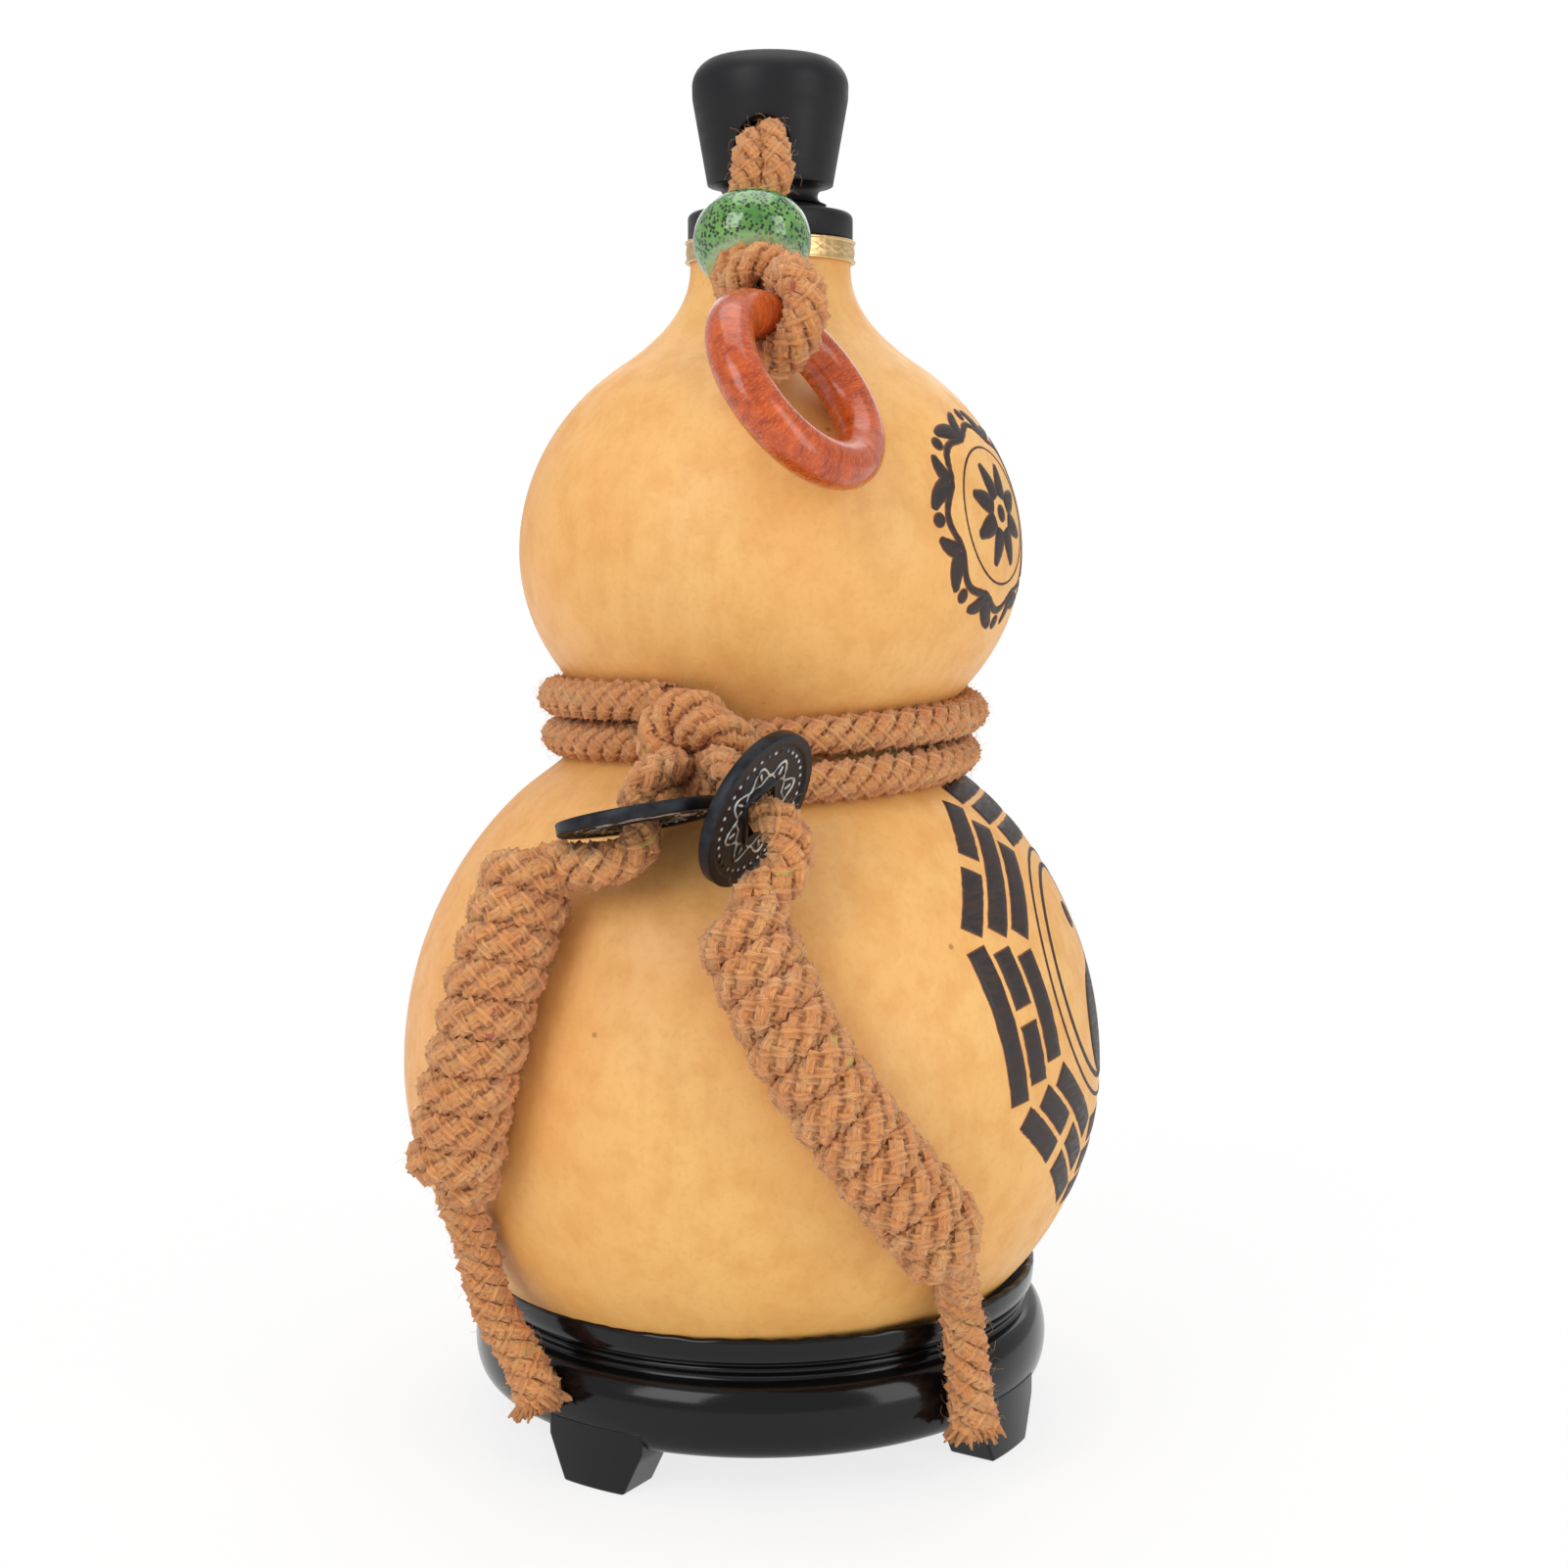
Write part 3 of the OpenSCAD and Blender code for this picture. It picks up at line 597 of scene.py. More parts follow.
class Drawing:
    """Strokes laid on a lobe and gathered into one mesh."""

    def __init__(self, lobe, azimuth, height, lift):
        self.lobe = lobe
        self.azimuth = azimuth
        self.height = height
        self.lift = lift
        self.points = []
        self.faces = []
        self.count = 0
        self.rng = np.random.default_rng(5)

    def add_grid(self, flat, lift, closed=False):
        rows, columns = flat.shape[:2]
        points = drape(flat, self.lobe, self.azimuth, self.height, lift + self.lift)
        self.points.append(points.reshape(-1, 3))
        self.faces.append(grid_faces(rows, columns, close_rows=closed) + self.count)
        self.count += rows * columns

    def stroke(self, line, half_width, closed=False, wobble=0.12):
        """A line with a width, which may be given for each point; its edge sinks into the skin."""
        count = len(line)
        side = tangents(line, closed)[:, ::-1] * [1, -1]
        width = np.broadcast_to(half_width, count) + wobble * self.rng.normal(0, 0.5, count)
        width = np.maximum(width, 0.05)
        flat = line[:, None, :] + (width[:, None] * STROKE_ACROSS)[..., None] * side[:, None, :]
        lift = np.broadcast_to(STROKE_LIFT, (count, len(STROKE_ACROSS))).copy()
        if not closed:
            lift[[0, -1]] = SUNK
        self.add_grid(flat, lift, closed)

    def bar(self, middle, direction, half_length, half_width):
        """A straight bar with a crisp, slightly wavering edge."""
        t = np.concatenate([[-1, -0.985], np.linspace(-0.9, 0.9, 15), [0.985, 1]])
        self.stroke(middle + half_length * t[:, None] * unit(direction), half_width)

    def circle(self, radius, half_width):
        self.stroke(radius * heading(around(160)), half_width, closed=True, wobble=0.04)

    def between(self, left, right, heights):
        """The area between two edges given for rows of heights."""
        t = np.concatenate([[0, 0.01], np.linspace(0.1, 0.9, 9), [0.99, 1]])
        u = left[:, None] * (1 - t) + right[:, None] * t
        lift = np.full(u.shape, SUNK)
        lift[1:-1, 1:-1] = RAISED
        self.add_grid(np.stack([u, np.broadcast_to(heights[:, None], u.shape)], -1), lift)

    def disc(self, middle, radius):
        """A filled circle, its outermost ring sunk into the skin."""
        share = np.array([0.02, 0.5, 0.95, 1.0])[:, None, None]
        flat = np.asarray(middle) + radius * share * heading(around(40))
        flat = np.concatenate([flat, flat[:, :1]], 1)
        lift = np.full(flat.shape[:2], RAISED)
        lift[-1] = SUNK
        self.add_grid(flat, lift)

    def finish(self, name, material):
        piece = make_mesh(name, np.concatenate(self.points), np.concatenate(self.faces), material)
        clean(piece, 0.0005)
        face_up(piece)
        ride(piece, "gourd", "gourd_skin")


def face_up(piece):
    """Turns over every loose patch that looks into the gourd."""
    work = bmesh.new()
    work.from_mesh(piece.data)
    wrong = []
    for face in work.faces:
        away = face.calc_center_median()
        away.z -= MM * (BELLY["z"] if away.z < WAIST_Z * MM else CROWN["z"])
        if face.normal.dot(away) < 0:
            wrong.append(face)
    bmesh.ops.reverse_faces(work, faces=wrong)
    work.to_mesh(piece.data)
    work.free()


# The eight trigrams from the top, counterclockwise, inner line first; 1 is whole and 0 is broken
TRIGRAMS = ["111", "110", "101", "100", "000", "001", "010", "011"]
# How far each line of a trigram lies from the middle, and half its length
TRIGRAM_LINES = [(29.3, 10.2), (35.2, 12.7), (41.1, 15.2)]


def draw_trigrams(drawing, grow):
    """Eight trigrams about a circle with its two halves."""
    half_width, half_gap = 2.45, 1.7
    thin_circle, circle = 24.2, 20.6
    for k, lines in enumerate(TRIGRAMS):
        out = heading(TURN / 4 + k * TURN / 8)
        side = np.array([-out[1], out[0]])
        for (reach, half), line in zip(TRIGRAM_LINES, lines):
            if line == "1":
                drawing.bar(reach * out, side, half + grow, half_width + grow)
                continue
            short = (half - half_gap) / 2
            for way in (-1, 1):
                middle = reach * out + way * (half_gap + short) * side
                drawing.bar(middle, side, short + grow, half_width + grow)
    drawing.circle(thin_circle, 0.32 + grow * 0.5)
    drawing.circle(circle, 0.5 + grow * 0.5)
    small = circle / 2
    v = circle * np.sin(np.linspace(-1, 1, 61) * TURN / 4)
    edge = np.sqrt(np.maximum(circle**2 - v**2, 0))
    swing = np.where(v > 0, 1, -1) * np.sqrt(np.maximum(small**2 - (np.abs(v) - small) ** 2, 0))
    drawing.between(swing, edge, v)
    drawing.disc((0, small), 2.6 + grow)


def leaf(drawing, root, degrees, length, width, bend, grow):
    """One leaf, pointed at both ends."""
    t = np.linspace(0, 1, 15)
    steps = length / 14 * heading(math.radians(degrees) + bend * (t - 0.2))[1:]
    line = root + np.concatenate([[[0, 0]], np.cumsum(steps, 0)])
    shape = np.sin(np.pi * t**0.62) ** 0.7
    drawing.stroke(line, width * shape + 0.12 + grow, wobble=0.05)


def draw_wreath(drawing, grow):
    """A vine with leaves and berries around a thin circle that holds a flower."""
    thin_circle, vine, root, berry = 12.8, 16.8, 16.2, 20.0
    drawing.circle(thin_circle, 0.16 + grow * 0.4)
    a = around(160)
    drawing.stroke((vine + 0.9 * np.cos(8 * a))[:, None] * heading(a), 0.6 + grow, closed=True)
    for k in range(8):
        side = 22.5 + 45 * k
        out = heading(math.radians(side))
        leaf(drawing, root * out, side + 46, 8.2, 1.7, 0.9, grow)
        leaf(drawing, root * out, side - 30, 6.4, 1.4, -1.0, grow)
        leaf(drawing, 2.6 * out, side, 8.0, 1.9, 0.0, grow)
        drawing.disc(berry * heading(math.radians(side + 24)), 1.25 + grow)
    drawing.disc((0, 0), 1.5 + grow)


def build_designs(settings):
    """The trigrams and the wreath, each as dark strokes over a slightly wider brown edge."""
    ink = shared("burnt_ink", burnt_line, (34, 27, 25), (66, 44, 34))
    scorch = shared("burnt_edge", burnt_line, (112, 56, 26), (150, 84, 40))
    layers = (("edge", scorch, in_mm(settings.scorch), -0.05), ("ink", ink, 0.0, 0.0))
    for name, draw, lobe, azimuth, height in (
        ("trigrams", draw_trigrams, BELLY, settings.belly_azimuth, in_mm(settings.belly_height)),
        ("wreath", draw_wreath, CROWN, settings.crown_azimuth, in_mm(settings.crown_height)),
    ):
        for label, material, grow, lift in layers:
            drawing = Drawing(lobe, azimuth, height, lift)
            draw(drawing, grow)
            drawing.finish(f"{name}_{label}", material)


# The mouth

SOCKET_Z = 238.5


def build_collar(dark):
    """The flange on the neck, with its sleeve inside."""
    low, top, edge = 207.0, 228.2, 1.3
    bore, sleeve, flange = 9.0, 11.5, 15.4
    profile = np.concatenate([
        [[bore + 0.2, low + 0.2], [bore + 0.5, low], [sleeve - 0.2, low], [sleeve, low + 0.3]],
        [[sleeve, NECK_TOP - 0.1], [sleeve + 0.3, NECK_TOP]],
        [[flange - 0.3, NECK_TOP], [flange, NECK_TOP + 0.3]],
        arc((flange - edge, top - edge), edge, 0, 90, 8),
        [[bore + 0.7, top], [bore + 0.15, top - 0.25], [bore, top - 0.8], [bore, low + 0.5]],
        [[bore + 0.2, low + 0.2]],
    ])
    piece = lathe("collar", profile, dark, CROWN_SHIFT, 160)
    ride(piece, "gourd", "dark_plastic", "mouth_collar")


def build_band(settings):
    """The brass band, pressed with two crossing waves and a dot in each gap."""
    brass = shared("band_brass", band_brass, to_bytes(settings.brass_colour))
    low, high, inner, outer = 218.85, 222.95, 15.05, 15.65
    middle = (low + high) / 2
    z = np.linspace(low + 0.5, high - 0.5, 26)
    profile = np.concatenate([
        [[inner, low + 0.1], [inner + 0.3, low]],
        arc((outer, low + 0.3), 0.3, -90, 30, 5),
        np.stack([np.full(26, outer), z], -1),
        arc((outer, high - 0.3), 0.3, -30, 90, 5),
        [[inner + 0.3, high], [inner, high - 0.1]],
    ])

    def wave(a, r, z):
        swing = 0.55 * np.sin(16 * a)
        near = np.exp(-(((z - middle - swing) / 0.32) ** 2))
        other = np.exp(-(((z - middle + swing) / 0.32) ** 2))
        dots = np.exp(-(((z - middle) / 0.25) ** 2)) * np.clip(np.cos(32 * a), 0, 1) ** 8
        return np.where(r > inner + 0.4, 0.10 * np.maximum(near, other) + 0.05 * dots, 0), 0

    piece = lathe("band", profile, brass, CROWN_SHIFT, 512, wave)
    ride(piece, "gourd", "band_brass", "neck_band")


def build_stopper(dark):
    """The stopper: a stem in the mouth and a tapered head with the cord's socket in front."""
    top, corner, stem, stem_low = 256.3, 5.4, 8.7, 209.2
    foot, shoulder = np.array([11.3, 233.0]), np.array([14.5, 251.0])
    taper = unit(shoulder - foot)
    profile = np.concatenate([
        [[0, stem_low], [stem - 1.1, stem_low]],
        arc((stem - 1, stem_low + 1), 1.0, -80, 0, 5),
        [[stem, 212], [stem, 228.6], [stem + 0.15, 229.5]],
        arc((11.4, 231.3), (2.6, 1.75), 250, 90, 10),
        [[11.7, 233.2]],
        [[11.7, 233.2] + taper * t for t in np.linspace(1, 15.8, 12)],
        arc((14.55 - corner, top - corner), corner, 4, 84, 14),
        [[5, top - 0.02], [2.5, top], [0, top]],
    ])
    piece = lathe("stopper_body", profile, dark, CROWN_SHIFT, 160)
    socket, mouth = 5.1, 5.8
    bore = [[0, -9.5], [socket - 0.3, -9.5], [socket, -9.2], [socket, 2.0],
            [mouth, 4.4], [mouth, 12], [0, 12]]
    cutter = lathe("cutter", bore, dark, 0, 64)
    turned(cutter, (2.0, -9.6, SOCKET_Z), (0, -1, 0.0001))
    cut(piece, cutter)
    soften(piece, 0.25, 2, 50)
    piece.data.polygons.foreach_set("use_smooth", [True] * len(piece.data.polygons))
    ride(piece, "stopper", "dark_plastic", "stopper")


def build_seals(settings):
    """Two rubber rings on the stem."""
    rubber = shared("seal_rubber", plain_plastic, to_bytes(settings.seal_colour), 0.6)
    sides, steps = 128, 16
    a = around(sides)
    points, faces = [], []
    for k, height in enumerate((223.7, 216.2)):
        ring = arc((8.05, height), 0.95, 0, 360, steps + 1)[:-1]
        r, z = ring[:, :1], ring[:, 1:]
        points.append(np.stack([CROWN_SHIFT + r * np.cos(a), r * np.sin(a), z + 0 * a], -1).reshape(-1, 3))
        faces.append(grid_faces(steps, sides, close_rows=True, close_columns=True) + k * steps * sides)
    piece = make_mesh("seals", np.concatenate(points), np.concatenate(faces), rubber)
    clean(piece)
    ride(piece, "stopper", "seal_rubber", "stopper_seals")


# The stand

LIP_Z = 29.4
DISH_LOW = 61.25


def dish(angle, down):
    """Point of the dish under the gourd, at an angle of the belly's lower half."""
    t = math.radians(angle)
    n = unit([math.cos(t) / BELLY["r"], math.sin(t) / BELLY["low"]])
    return [BELLY["r"] * math.cos(t) + down * n[0], BELLY["z"] + DISH_LOW * math.sin(t) + down * n[1]]


def rim_at(angle, inset):
    """Point of the stand's rounded rim, at an angle of its bulge."""
    t = math.radians(angle)
    return [49.0 + (6.6 - inset) * math.sqrt(max(math.cos(t), 0)), 14.8 + (7.0 - inset) * math.sin(t)]


def bowl_profile():
    """The dish, the lip, the moulded bead under it, the rounded rim and the hollow below."""
    hole = -math.degrees(math.acos((24 - STAND_SHIFT) / BELLY["r"]))
    lip = -math.degrees(math.asin((BELLY["z"] - LIP_Z) / DISH_LOW))
    lip_in = dish(lip, 0)[0]
    lip_out = lip_in + 1.3
    band = LIP_Z - 4.2
    return np.concatenate([
        [dish(a, 0.0) for a in np.linspace(hole, lip, 30)],
        [[lip_in + 0.25, LIP_Z + 0.2], [lip_out - 0.35, LIP_Z + 0.2], [lip_out - 0.05, LIP_Z - 0.1]],
        [[lip_out, LIP_Z - 0.6], [lip_out - 0.1, LIP_Z - 2.4], [lip_out - 0.32, band + 0.35]],
        [[lip_out - 0.6, band], [lip_out - 1.4, band - 0.2], [lip_out - 1.8, band - 0.5]],
        arc((lip_out - 1.8, band - 1.5), 0.62, 90, -90, 9),
        [rim_at(a, 0) for a in np.linspace(82, -82, 44)],
        [rim_at(a, 2.4) for a in np.linspace(-72, 66, 24)],
        [dish(a, 2.2) for a in np.linspace(-47, hole, 14)],
        [dish(hole, 0.0)],
    ])


def rough_lip(a, r, z):
    """Leaves the lip's edge a little rough, lets the rim sag by a hair and adds the mould's seam."""
    rough = 0.10 * np.sin(61 * a + 2 * np.sin(9 * a)) + 0.08 * np.sin(23 * a + 1.3)
    seam = 0.10 * np.exp(-((np.angle(np.exp(1j * (a + 1.30))) / 0.006) ** 2))
    lip_share = np.clip((z - LIP_Z + 0.3) / 0.5, 0, 1)
    return (seam + 0.06 * np.sin(2 * a)) * (r > 48), rough * lip_share


def build_bowl(gloss):
    """The stand's ring with its dished top."""
    piece = lathe("stand_bowl", bowl_profile(), gloss, STAND_SHIFT, 384, rough_lip)
    ride(piece, "stand", "stand_plastic", "stand")


def build_feet(gloss, first_turn):
    """Four feet that widen upwards, following the ring's curve."""
    outer, inner, across = 55.4, 46.4, 9
    sections = ((0, 13.0), (3, 15.8), (6, 18.6), (8, 20.5), (12, 20.5))
    rows = []
    for z, width in sections:
        y = np.linspace(-width / 2, width / 2, across)
        front = np.stack([np.sqrt(outer**2 - y**2), y], -1)
        back = np.stack([np.sqrt(inner**2 - y**2), y], -1)[::-1]
        rows.append(np.concatenate([front, back]))
    grid = np.array(rows)
    height = np.broadcast_to([[z] for z, _ in sections], grid.shape[:2])
    loop = 2 * across
    points, faces = [], []
    for k in range(4):
        c, s = heading(-TURN / 4 - first_turn + TURN / 4 * k)
        x = STAND_SHIFT + grid[..., 0] * c - grid[..., 1] * s
        y = grid[..., 0] * s + grid[..., 1] * c
        base = k * height.size
        points.append(np.stack([x, y, height], -1).reshape(-1, 3))
        faces += (grid_faces(len(sections), loop, close_columns=True) + base).tolist()
        for row in (0, len(sections) - 1):
            ring = [base + row * loop + j for j in range(loop)]
            faces += [[ring[j], ring[j + 1], ring[-2 - j], ring[-1 - j]] for j in range(across - 1)]
    piece = make_mesh("stand_feet", np.concatenate(points), faces, gloss)
    clean(piece)
    soften(piece, 0.5, 3, 35, harden=True)
    ride(piece, "stand", "stand_plastic")


# Bead, ring and coins

BEAD_AT = np.array([0.3, -26.6, 220.2])
BEAD_AXIS = np.array([-0.04619, 0.5279, 0.84805])
RING_AT = np.array([7.7, -53.3, 193.2])
RING_AXIS = np.array([0.69529, -0.45153, 0.55919])
# Each coin's middle, the way it faces and the seed of its slight warp
COINS = {
    "left": ((-18.6, -57.5, 122), (-0.16924, 0.20899, 0.96316), 2),
    "right": ((0.9, -60.5, 123.9), (0.79114, -0.46788, -0.39394), 7),
}


def build_bead(settings):
    """The glazed bead, bulged outside, with a rounded edge about its hole."""
    glaze = shared("bead_glaze", bead_glaze, to_bytes(settings.bead_colour))
    widest, lip, hole, half = 10.4, 5.6, 4.7, 6.2
    outer = arc((lip, 0), (widest - lip, half), -86, 86, 40)
    end = np.array([[hole + 0.6, half - 0.08], [hole + 0.25, half - 0.4], [hole + 0.05, half - 0.9]])
    profile = np.concatenate([end[::-1] * [1, -1], outer, end, [[hole, 0]], end[-1:] * [1, -1]])
    piece = lathe("bead", profile, glaze, 0, 128)
    turned(piece, BEAD_AT, BEAD_AXIS)
    ride(piece, "bead", "bead_glaze", "lanyard_bead")


def build_ring(settings):
    """The wooden pull ring, turned by hand and so not quite even."""
    wood = shared("ring_wood", ring_wood, to_bytes(settings.ring_colour))
    big, small, sides, columns = 15.3, 4.15, 48, 160
    t = around(sides)[:, None]
    a = around(columns)[None, :]
    r = big + small * np.cos(t) * (1 + 0.02 * np.cos(2 * t)) + 0.06 * np.sin(3 * a)
    z = small * (1 - 0.035 * np.cos(t) ** 2) * np.sin(t) + 0 * a
    points = np.stack([r * np.cos(a), r * np.sin(a), z], -1).reshape(-1, 3)
    uv = np.stack([np.broadcast_to(v / TURN, r.shape) for v in (t, a)], -1).reshape(-1, 2)
    piece = make_mesh("ring", points, grid_faces(sides, columns, True, True), wood, uv)
    clean(piece)
    turned(piece, RING_AT, RING_AXIS)
    ride(piece, "ring", "ring_wood", "pull_ring")


def coin_relief(x, y, radius, hole):
    """Height of the relief in millimetres, and where its marks are: dots, petals, short rays and rims."""
    r, a = np.hypot(x, y), np.arctan2(y, x)
    square = np.maximum(np.abs(x), np.abs(y))

    def line(distance, half):
        return np.clip((half - np.abs(distance)) / 0.16 + 0.5, 0, 1)

    rims = np.maximum(np.clip((r - radius + 2.0) / 0.2, 0, 1), np.clip((hole + 1 - square) / 0.2, 0, 1))
    dot = np.hypot((np.angle(np.exp(36j * a)) / 36) * 11.1, r - 11.1)
    dots = np.clip((0.42 - dot) / 0.2, 0, 1)
    petals = line(r - 8.1 - 1.25 * np.cos(8 * a), 0.26)
    inner = line(r - 6.4 - 0.5 * np.cos(8 * a + math.pi), 0.2) * (square > hole + 1.4)
    rays = line(np.angle(np.exp(8j * a)) / 8 * r, 0.22) * line(r - 7.6, 0.8)
    marks = np.maximum.reduce([dots, petals, 0.8 * inner, rays])
    return 0.4 * rims + 0.26 * marks * (rims < 0.5), marks


def build_coin(side, settings):
    """A round coin with a square hole, alike on both faces."""
    iron = shared("coin_iron", coin_iron, to_bytes(settings.coin_colour))
    centre, axis, seed = COINS[side]
    radius, hole, field, half_rim = 14.2, 3.5, 0.7, 0.9
    sides, rings = 288, 52
    a = around(sides)
    square = hole / np.maximum(np.abs(np.cos(a)), np.abs(np.sin(a)))
    t = np.linspace(0, 1, rings)[:, None]
    r = square * (1 - t) + (radius - 0.15) * t
    x, y = r * np.cos(a), r * np.sin(a)
    lift, worn = coin_relief(x, y, radius, hole)
    warp = 0.10 * np.sin(2 * a + np.random.default_rng(seed).random() * 6) * (r / radius) ** 2
    top = np.stack([x, y, field + lift + warp], -1)
    low = np.stack([x, y, -field - lift + warp], -1)[::-1]
    edge = [np.concatenate([radius * heading(a), (warp[-1] + h)[:, None]], -1)[None]
            for h in (half_rim, 0.0, -half_rim)]
    grid = np.concatenate([top] + edge + [low])
    faces = grid_faces(len(grid), sides, close_rows=True, close_columns=True)
    piece = make_mesh(f"coin_{side}", grid.reshape(-1, 3), faces, iron)
    paint(piece, "worn", np.concatenate([worn, np.zeros((3, sides)), worn[::-1]]).ravel())
    clean(piece, 0)
    turned(piece, centre, axis)
    ride(piece, f"{side}_coin", "coin_iron", f"{side}_coin")


# Cords

STRANDS = 8
RIDGES = 7
# Routes of the tails; a fourth number is the share of the cord's full thickness
# Along an axis the cord is thinner, and another is wound about it
CORE_SHARE = 0.68
TAILS = {
    "left": {
        "route": [
            (-13, -46.5, 129.6, 0.9), (-14.4, -51, 129.7, 0.9), (-17.4, -56.2, 128.4, 0.86),
            (-19.1, -56.9, 125.4, 0.88), (-18.6, -57.5, 122, 0.76), (-18.1, -58.1, 118.9, 0.9),
            (-20.2, -58.6, 115.8, 1), (-24.8, -57.6, 114.2, 1.04), (-29.4, -55.4, 113.6, 1.04),
            (-33.2, -53, 113.3, 1.18),
        ],
        "axis": [
            (-37.4, -51.4, 112.2), (-41.4, -55, 100.4), (-45.1, -57.8, 87), (-48.6, -57.7, 73),
            (-51.2, -55.6, 60),
        ],
        "end": [
            (-50.9, -52.6, 56.4, 1), (-50, -49.8, 51.8, 1.04), (-48.7, -46.4, 45.8, 1.04),
            (-47.5, -44.2, 38, 1.04), (-45.5, -43, 31, 1.04), (-43, -42.8, 26.5, 1.06),
            (-40.5, -43.3, 22, 1.08), (-38.6, -44.2, 18, 1.16), (-37.7, -45, 15, 1.22),
        ],
        "outward": (-0.6, -0.8, 0),
        "seed": 0,
    },
    "right": {
        "route": [
            (-6, -47, 130, 0.9), (-4.9, -51.6, 130.2, 0.9), (-2.6, -56.8, 128.6, 0.9),
            (0.9, -60.5, 123.9, 0.76), (4.1, -62.4, 122.3, 0.98), (6.5, -63.8, 118.8, 1.06),
            (6, -64.8, 114.6, 1.08), (3.2, -65.4, 111.4, 1.16), (0.6, -66.2, 108.9, 1.25),
        ],
        "axis": [
            (-1.4, -66.9, 105.4), (4.6, -72, 92.2), (11.8, -73.9, 80), (19.6, -73.3, 69), (27, -70.4, 59),
            (33, -66.3, 50.6),
        ],
        "end": [
            (33.4, -63, 48.6, 1), (34.5, -58.6, 44.6, 1.04), (35.4, -54, 41, 1.04),
            (36.2, -50.6, 36.5, 1.04), (37.2, -49, 31, 1.04), (37.8, -48.4, 25.6, 1.06),
            (38.4, -47.8, 20, 1.08), (39.1, -47.2, 14.5, 1.16), (39.5, -47, 11.4, 1.22),
        ],
        "outward": (0, -1, 0),
        "seed": 10,
    },
}
# Route of the lanyard: one side of it out of the socket, then the loop that holds the ring
LANYARD_SIDE = [(0.9, -8.0, 239.5, 0.66), (1.3, -12.6, 240.1, 0.70), (1.8, -16.6, 239.5, 0.80),
                (2.4, -19.2, 236.2, 0.94), (2.5, -20.6, 231.6, 1.0)]
LANYARD_LOOP = [(6, -38, 213), (7.4, -45.3, 211.6), (9.4, -48.9, 207.6), (8.1, -49.9, 202.2),
                (4.4, -47.7, 198.5), (0.4, -43.7, 198.7), (-1.6, -40.2, 202.6), (-2.2, -35, 209)]


def widened(ring, wide):
    """Rings of points spread along one direction each, by the share that is that direction's length."""
    share = np.linalg.norm(wide, axis=1, keepdims=True)
    way = wide / np.maximum(share, 1e-9)
    return ring + (ring @ way[:, :, None]) * (share[:, None, :] * way[:, None, :])


def plait_mesh(path, radius, lay, closed=False, wide=None):
    """Points, faces, UVs and the heights for the painted shade, of ridged strands that cross each other along
    a path.

    radius may change along the path, and wide spreads the plait at each point.
    """
    p = np.asarray(path)[:, :3]
    count = len(p)
    sides = 2 * RIDGES
    radius = np.broadcast_to(radius, count)[:, None]
    _, n, b = path_frames(p, closed=closed)
    s = distances(p)
    if closed:
        total = s[-1] + np.linalg.norm(p[0] - p[-1])
        lay = total / max(1, round(total / lay))
    half = STRANDS // 2
    a = TURN * (np.arange(sides) + 0.5) / sides
    crown = np.arange(sides) % 2
    ridge = np.where(crown, 1.16, 0.76)
    across = radius * math.pi / STRANDS * 1.08 * np.cos(a) * ridge
    thick = radius * 0.36 * np.sin(a) * ridge
    points, faces, uvs, painted_shade_heights = [], [], [], []
    for k in range(STRANDS):
        way = 1 if k % 2 else -1
        angle = way * (TURN * s / lay) + TURN * (k // 2) / half
        lift = way * np.cos(TURN * half * 2 * s / lay)
        out = np.cos(angle)[:, None] * n + np.sin(angle)[:, None] * b
        centre = p + (radius[:, 0] * (0.56 + 0.16 * lift))[:, None] * out
        along = tangents(centre, closed)
        side = unit(np.cross(along, out))
        up = np.cross(side, along)
        ring = across[..., None] * side[:, None, :] + thick[..., None] * up[:, None, :]
        ring = ring + (centre - p)[:, None, :]
        if wide is not None:
            ring = widened(ring, wide)
        points.append((p[:, None, :] + ring).reshape(-1, 3))
        # Heights for the painted shade: low in the valleys and where the strand dips under another
        painted_shade_heights.append(np.clip(0.36 + 0.28 * lift[:, None] + 0.40 * crown[None, :], 0, 1).ravel())
        faces.append(grid_faces(count, sides, closed, True) + k * count * sides)
        u = np.broadcast_to((np.arange(sides) / sides + k)[None, :], (count, sides))
        v = np.broadcast_to((s / 10)[:, None], (count, sides))
        uvs.append(np.stack([u, v], -1).reshape(-1, 2))
    return [np.concatenate(part) for part in (points, faces, uvs, painted_shade_heights)]


def add_plait(name, path, radius, material, body, *nodes, **how):
    """A plaited cord as a piece that rides on a body."""
    points, faces, uv, painted_shade_heights = plait_mesh(path, radius, **how)
    piece = make_mesh(name, points, faces, material, uv)
    # The heights are kept for the cord's painted shade
    paint(piece, "painted_shade_height", painted_shade_heights)
    clean(piece, 0.0005)
    return ride(piece, body, "cord", *nodes)


